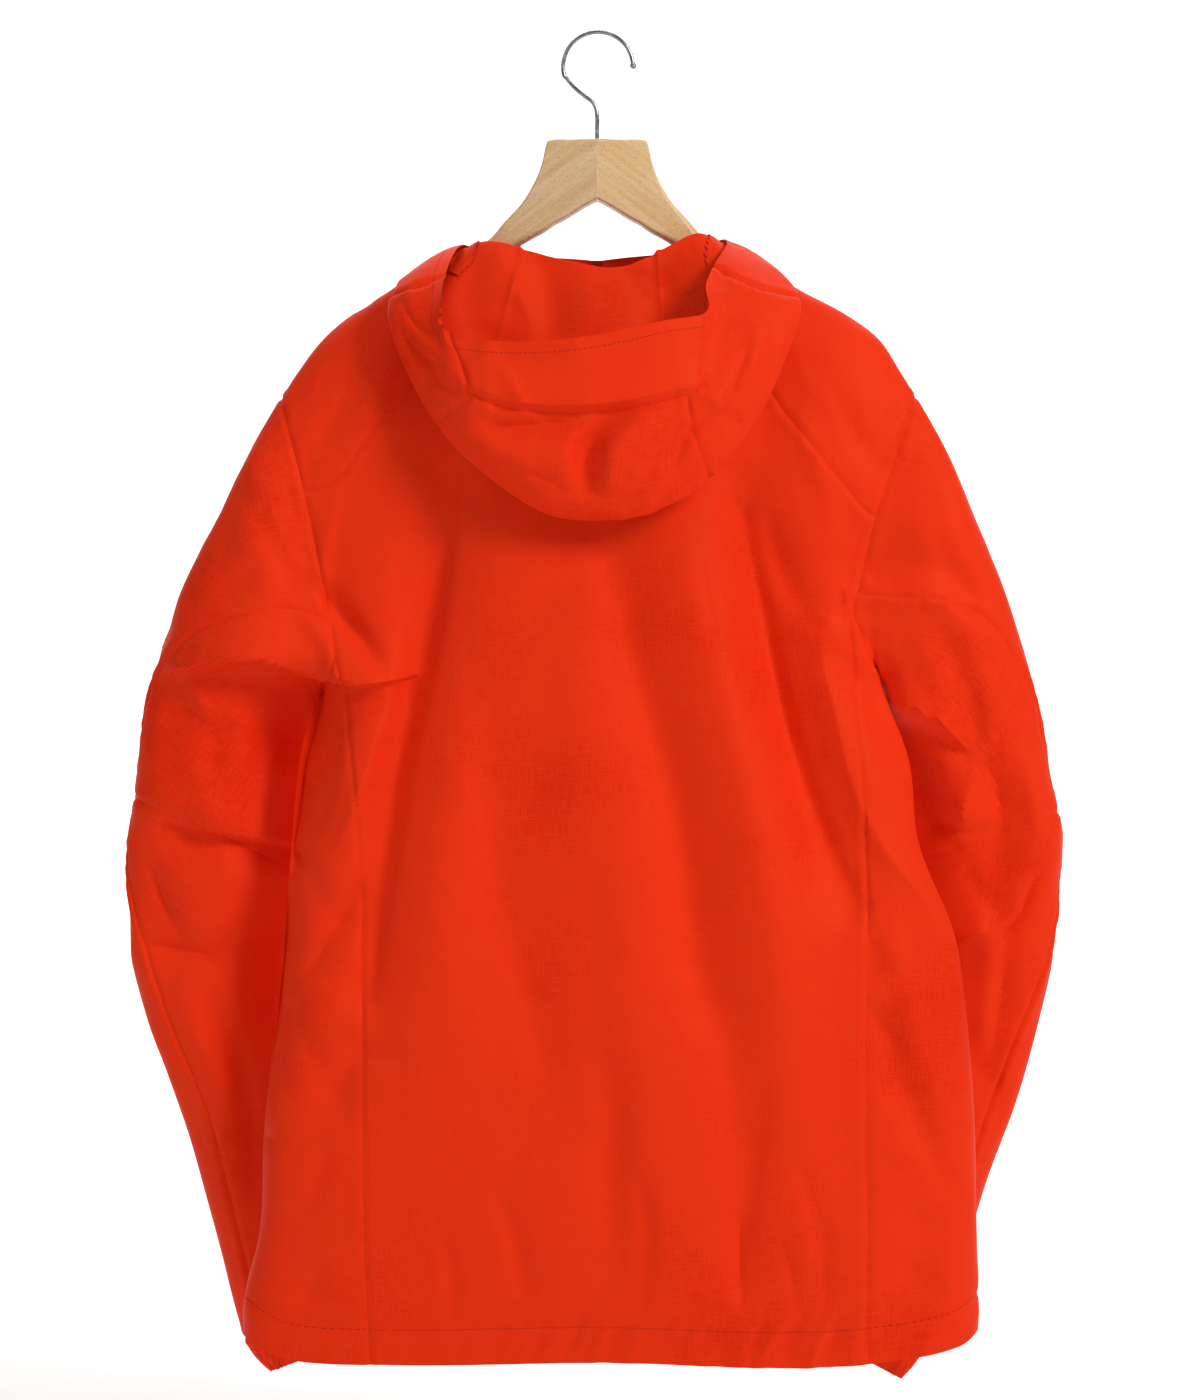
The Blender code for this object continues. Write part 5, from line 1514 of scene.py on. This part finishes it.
def makeTeeth():
    # Two rows of coil teeth, set half a pitch apart, up the middle of the tape.
    tape = np.unique(fine["faces"][fine["panel"] == panelNames.index("zip_tape")])
    # the tape's middle, from the mean of its points in short stretches
    stretch = np.round(fine["points"][tape, 2] / (5 * mm)).astype(int)
    line = np.array([fine["points"][tape[stretch == i]].mean(axis=0) for i in np.unique(stretch)])
    far = np.concatenate([[0], np.cumsum(np.linalg.norm(np.diff(line, axis=0), axis=1))])

    def onLine(at):
        return np.array([np.interp(at, far, line[:, axis]) for axis in range(3)])

    count = int(far[-1] / teeth["pitch"])
    allPoints, allFaces = [], []
    for i in range(2 * count):
        at = (i + 1) * teeth["pitch"] / 2
        spot = onLine(at)
        ahead = onLine(at + mm) - spot
        ahead[0] = 0
        ahead /= np.linalg.norm(ahead)
        sign = 1 if i % 2 else -1
        across = np.array([float(sign), 0, 0])
        outward = np.cross(np.array([1.0, 0, 0]), ahead)
        if outward[1] < 0:
            outward = -outward
        first = len(allPoints)
        for reach, rise, half in teeth["loop"]:
            for side in (-1, 1):
                allPoints.append(
                    spot + across * teeth["reach"] * reach + outward * teeth["high"] * rise
                    + ahead * side * half * teeth["wide"])
        for step in range(3):
            a = first + 2 * step
            quad = (a, a + 1, a + 3, a + 2)
            allFaces.append(quad if sign > 0 else quad[::-1])
        for side in (0, 1):
            end = tuple(first + side + 2 * step for step in range(4))
            allFaces.append(end if (side == 0) == (sign > 0) else end[::-1])
    made = meshObject("zip_teeth", allPoints, allFaces, teethPlastic)
    print("zip teeth:", 2 * count)


def metalPlate(name, node, centre, size, corner, hole, body="jacket"):
    # a plate in the X-Z plane, in millimetres, with rounded corners and bevelled faces; hole is
    # the half width and half height of a slot through it, and how far it is above the middle
    shape = bmesh.new()
    half = [s / 2 for s in size]
    rings, steps = [], 4
    for deep, inset in ((-1, 0.25), (-0.6, 0.0), (0.6, 0.0), (1, 0.25)):
        ring = []
        for quarter, (sx, sz) in enumerate(((1, 1), (-1, 1), (-1, -1), (1, -1))):
            for step in range(steps + 1):
                turn = math.radians(90 * (quarter + step / steps))
                radius = corner - inset
                x = sx * (half[0] - corner) + radius * math.cos(turn)
                z = sz * (half[2] - corner) + radius * math.sin(turn)
                ring.append(shape.verts.new((x, deep * half[1], z)))
        rings.append(ring)
    for low, high in zip(rings, rings[1:]):
        for i in range(len(low)):
            j = (i + 1) % len(low)
            shape.faces.new((low[i], low[j], high[j], high[i]))
    # each face of the plate is a ring round the slot, whose corners stand one to one
    inner = []
    for ring, deep in ((rings[0], -1), (rings[-1], 1)):
        loop = []
        for vert in ring:
            away = Vector((vert.co.x / half[0], 0, vert.co.z / half[2]))
            loop.append(shape.verts.new((
                away.x * hole[0], deep * half[1], hole[2] + away.z * hole[1])))
        inner.append(loop)
        for i in range(len(ring)):
            j = (i + 1) % len(ring)
            quad = (ring[i], loop[i], loop[j], ring[j])
            shape.faces.new(quad if deep < 0 else quad[::-1])
    for i in range(len(inner[0])):
        j = (i + 1) % len(inner[0])
        shape.faces.new((inner[0][i], inner[1][i], inner[1][j], inner[0][j]))
    bmesh.ops.recalc_face_normals(shape, faces=shape.faces[:])
    shape.verts.index_update()
    points = [tuple(c + p * mm for c, p in zip(centre, v.co)) for v in shape.verts]
    faces = [tuple(v.index for v in f.verts) for f in shape.faces]
    shape.free()
    made = meshObject(name, points, faces, zinc, body)
    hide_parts(node)


def middleAndSize(node):
    low, high = (np.array(corner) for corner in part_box(node))
    return (low + high) / 2, (high - low) / mm


def makeSlider():
    # The slider's two plates on a neck, and the pull tab in front of them, on its pin.
    middle, size = middleAndSize("zip_slider")
    for name, shift in (("slider_back", -0.36), ("slider_front", 0.36)):
        spot = middle + np.array([0, shift * size[1] * mm, 0])
        plate = (size[0], size[1] * 0.26, size[2])
        metalPlate(name, "zip_slider", spot, plate, 2.2, (0.5, 0.6, 2.5))
    metalPlate("slider_neck", "zip_slider", middle, (2.4, size[1] * 0.6, 5.0), 1.1, (0.3, 0.5, 0.0))
    middle, size = middleAndSize("zip_pull")
    metalPlate("pull_tab", "zip_pull", middle, size, 2.0, (1.3, 2.6, size[2] * 0.33), "pull")


makeTeeth()
makeSlider()

# The hanger's left half: each section's top and bottom as seen from behind, and its corner's
# radius. The arms' tops lie just under the cloth, on the ridge's own line.
hangerNeck = readTable(
    "topX topDrop bottomX bottomDrop round",
    (-0.03, 75, -0.03, 118, 2.5),
    (-17, 75.5, -9, 122.8, 2.5),
    (-33, 75.9, -17, 127.8, 2.5),
    (-36.3, 80, -24, 132, 2.5),
    (-39, 92, -30, 135, 2.5),
    (-44, 105, -37, 140, 3),
    (-53, 120, -46, 145, 4),
    (-65, 133, -56, 151, 5),
    (-78, 147, -67, 160, 7),
)
armRows = readTable(  # clear is how much lower than the cloth's inner face the arm's top lies
    "place clear deep thick",
    (-100, 0.9, 22, 15), (-125, 1.0, 22, 15), (-150, 2.2, 22, 14), (-172, 2.8, 20, 13),
    (-186, 3.4, 15, 10),
)
armFlat = 0.6  # what is left flat between an arm's rounded edges
hookRadius = 24.8  # of the wire's centre line
hookCentre = (0.6, -23.2)
hookStart, hookStop = 196.0, 7.0  # degrees, from the slanted run round to the tip
hookBall = 4.6
hookStem = (  # x and height of the wire's centre line, up from inside the wood
    (0, -74.7), (0, -66), (0, -58), (-1, -52.2), (-3.4, -48.2), (-7.4, -45), (-11.8, -41.6),
    (-15.6, -38.4), (-18.9, -35), (-21.4, -31.8),
)
hookSteps, stemSteps, ballSteps, wireSides = 64, 40, 14, 24
cornerSteps, ringsBetween = 6, 6
wireThick, hangerThick = 3.1, 20
clothAndGap = 1.5
grainTurn, grainDeep = 37, 0.7  # degrees that each half's grain slopes, and how far it runs in


def roundedSection(low, high, thick, corner):
    # a section between its lower and upper edge, with rounded corners, as a ring
    middle, half = (low + high) / 2, np.linalg.norm(high - low) / 2
    up = (high - low) / (2 * half)
    ring = []
    for quarter in range(4):
        side = math.copysign(1, math.cos(math.radians(90 * quarter + 45)))
        top = math.copysign(1, math.sin(math.radians(90 * quarter + 45)))
        for step in range(cornerSteps + 1):
            turn = math.radians(90 * (quarter + step / cornerSteps))
            deep = side * (thick / 2 - corner) + corner * math.cos(turn)
            spot = middle + up * (top * (half - corner) + corner * math.sin(turn))
            ring.append((spot[0], deep, spot[1]))
    return np.array(ring)


def ridgeDrop(side, x):
    ridge = ridgeLeft if side == "left" else ridgeRight
    order = np.argsort(ridge["x"])
    return float(smooth(ridge["x"][order], ridge["drop"][order], x))


def tubeOf(rings):
    # a closed solid's points and faces through rings of equal length, with flat ends
    count, sides = rings.shape[:2]
    faces = []
    for i in range(count - 1):
        for j in range(sides):
            k = (j + 1) % sides
            faces.append((i * sides + j, i * sides + k, (i + 1) * sides + k, (i + 1) * sides + j))
    faces.append(tuple(range(sides))[::-1])
    faces.append(tuple(range((count - 1) * sides, count * sides)))
    return rings.reshape(-1, 3), faces


def makeHanger(side):
    sign = -1 if side == "left" else 1
    edges = []
    for i in range(len(hangerNeck["topX"])):
        topX, topDrop, bottomX, bottomDrop, corner = (values[i] for values in hangerNeck.values())
        edges.append((-sign * topX, -topDrop, -sign * bottomX, -bottomDrop, hangerThick, corner))
    for place, clear, deep, wide in zip(*armRows.values()):
        x = -sign * place
        run = np.array([1.0, -(ridgeDrop(side, x + 1) - ridgeDrop(side, x - 1)) / 2])
        run /= np.linalg.norm(run)
        under = np.array([run[1], -run[0]])
        top = np.array([x, -ridgeDrop(side, x)]) + (clothAndGap + clear) * under
        low = top + deep * under
        edges.append((*top, *low, wide, min(wide, deep) / 2 - armFlat / 2))
    edges = np.array(edges)
    at = np.linspace(0, len(edges) - 1, ringsBetween * (len(edges) - 1) + 1)
    between = smooth(np.arange(len(edges)), edges, at)
    rings = np.array([roundedSection(e[2:4], e[:2], e[4], e[5]) for e in between]) * mm
    if side == "left":
        rings = rings[:, ::-1]
    points, faces = tubeOf(rings)
    c, s = math.cos(math.radians(grainTurn)), math.sin(math.radians(grainTurn))
    grain = [(sign * x * c - z * s, sign * x * s + z * c + grainDeep * y) for x, y, z in points]
    uvs = [grain[v] for face in faces for v in face]
    # the left half takes the beech with painted shade, the right half the beech with painted light
    wood = beechLeftPaintedShade if side == "left" else beechRightPaintedLight
    made = meshObject("wood_" + side, points, faces, wood, uvs=uvs)
    normals = np.zeros_like(points)
    for face in faces[:-2]:
        corners = points[list(face)]
        flat = np.cross(corners[2] - corners[0], corners[3] - corners[1])
        normals[list(face)] += flat
    made.data.normals_split_custom_set_from_vertices([tuple(n / np.linalg.norm(n)) for n in normals])
    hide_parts("hanger_" + side)


def makeHook():
    centre = np.array(hookCentre)
    turns = np.radians(np.linspace(hookStart, hookStop, hookSteps))
    arc = centre + hookRadius * np.stack([np.cos(turns), np.sin(turns)], axis=1)
    stem = np.array([(x, 0, z) for x, z in hookStem] + [(arc[0][0], 0, arc[0][1])])
    path = np.concatenate([along(stem, stemSteps)[:-1][:, [0, 2]], arc])
    tip, ahead = path[-1], path[-1] - path[-2]
    ahead = ahead / np.linalg.norm(ahead)
    stations = [(spot, wireThick / 2) for spot in path]
    for turn in np.radians(np.linspace(136, 8, ballSteps)):  # the ball on the wire's tip
        middle = tip + ahead * hookBall / 2 * (1 + math.cos(turn))
        stations.append((middle, hookBall / 2 * math.sin(turn)))
    rings = []
    for i, (spot, radius) in enumerate(stations):
        onArc = min(i, len(path) - 1)
        run = path[min(onArc + 1, len(path) - 1)] - path[max(onArc - 1, 0)]
        run = run / np.linalg.norm(run)
        across = np.array([run[1], -run[0]])
        ring = []
        for step in range(wireSides):
            turn = 2 * math.pi * step / wireSides
            flat = spot + across * radius * math.cos(turn)
            ring.append((flat[0], radius * math.sin(turn), flat[1]))
        rings.append(ring)
    points, faces = tubeOf(np.array(rings) * mm)
    hook = meshObject("wire_hook", points, faces, chrome)
    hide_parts("hanger_hook")


makeHanger("left")
makeHanger("right")
makeHook()
print("hanger made")


def softBox(name, place, target, size, power):
    lamp = bpy.data.lights.new(name, "AREA")
    lamp.shape = "RECTANGLE"
    lamp.size, lamp.size_y = size
    lamp.energy = power
    made = bpy.data.objects.new(name, lamp)
    made.location = place
    made.rotation_euler = (Vector(target) - Vector(place)).to_track_quat("-Z", "Y").to_euler()
    bpy.context.scene.collection.objects.link(made)


def makeStudio():
    # a pale sweep, a broad soft light from the upper right, and a weaker one from the left
    studio = {
        "floor": -1.06,
        "wall": 4.6,
        "bend": 1.4,
        "half": 6.0,
        "near": -7.0,
        "top": 5.0,
        "paint": "#FAFAF9",
        "steps": 16,
        "air": 0.16,  # the light that comes from everywhere
    }
    steps = studio["steps"]
    profile = [(studio["near"], studio["floor"])]
    for i in range(steps + 1):
        turn = math.pi / 2 * i / steps
        y = studio["wall"] - studio["bend"] + studio["bend"] * math.sin(turn)
        profile.append((y, studio["floor"] + studio["bend"] * (1 - math.cos(turn))))
    profile.append((studio["wall"], studio["top"]))
    points = [(x, y, z) for y, z in profile for x in (-studio["half"], studio["half"])]
    faces = [(2 * i, 2 * i + 1, 2 * i + 3, 2 * i + 2) for i in range(len(profile) - 1)]
    mesh = bpy.data.meshes.new("sweep")
    mesh.from_pydata(points, [], faces)
    mesh.shade_smooth()
    matt = {"Base Color": linear(studio["paint"]), "Roughness": 0.9}
    mesh.materials.append(startMaterial("sweep paint", matt)[0])
    sweep = bpy.data.objects.new("sweep", mesh)
    bpy.context.scene.collection.objects.link(sweep)
    middle = (0, 0, -0.45)
    softBox("key", (2.2, -2.2, 1.2), middle, (1.1, 1.1), 66)
    softBox("fill", (-2.2, -2.4, 1.4), middle, (2.0, 2.0), 19)
    softBox("top", (0.0, -0.8, 2.2), middle, (1.6, 1.0), 12)
    softBox("backdrop", (0, 2.2, 3.4), (0, 4.6, 0.0), (6.0, 0.8), 250)
    world = bpy.data.worlds.new("studio")
    world.use_nodes = True
    sky = world.node_tree.nodes["Background"].inputs
    sky["Color"].default_value = (1, 1, 1, 1)
    sky["Strength"].default_value = studio["air"]
    bpy.context.scene.world = world
    bpy.context.scene.view_settings.view_transform = "Standard"


def makeCamera():
    view = {"sensor": 36, "lens": 108.65, "end": 60, "place": (0.002, -3.0, -0.4727)}
    data = bpy.data.cameras.new("camera")
    data.sensor_fit = "VERTICAL"
    data.sensor_width = data.sensor_height = view["sensor"]
    data.lens = view["lens"]
    data.clip_end = view["end"]
    camera = bpy.data.objects.new("camera", data)
    camera.location = view["place"]
    camera.rotation_euler = (math.pi / 2, 0, 0)  # level, looking at the jacket's back
    bpy.context.scene.collection.objects.link(camera)
    bpy.context.scene.camera = camera


makeStudio()
makeCamera()
bpy.context.view_layer.update()
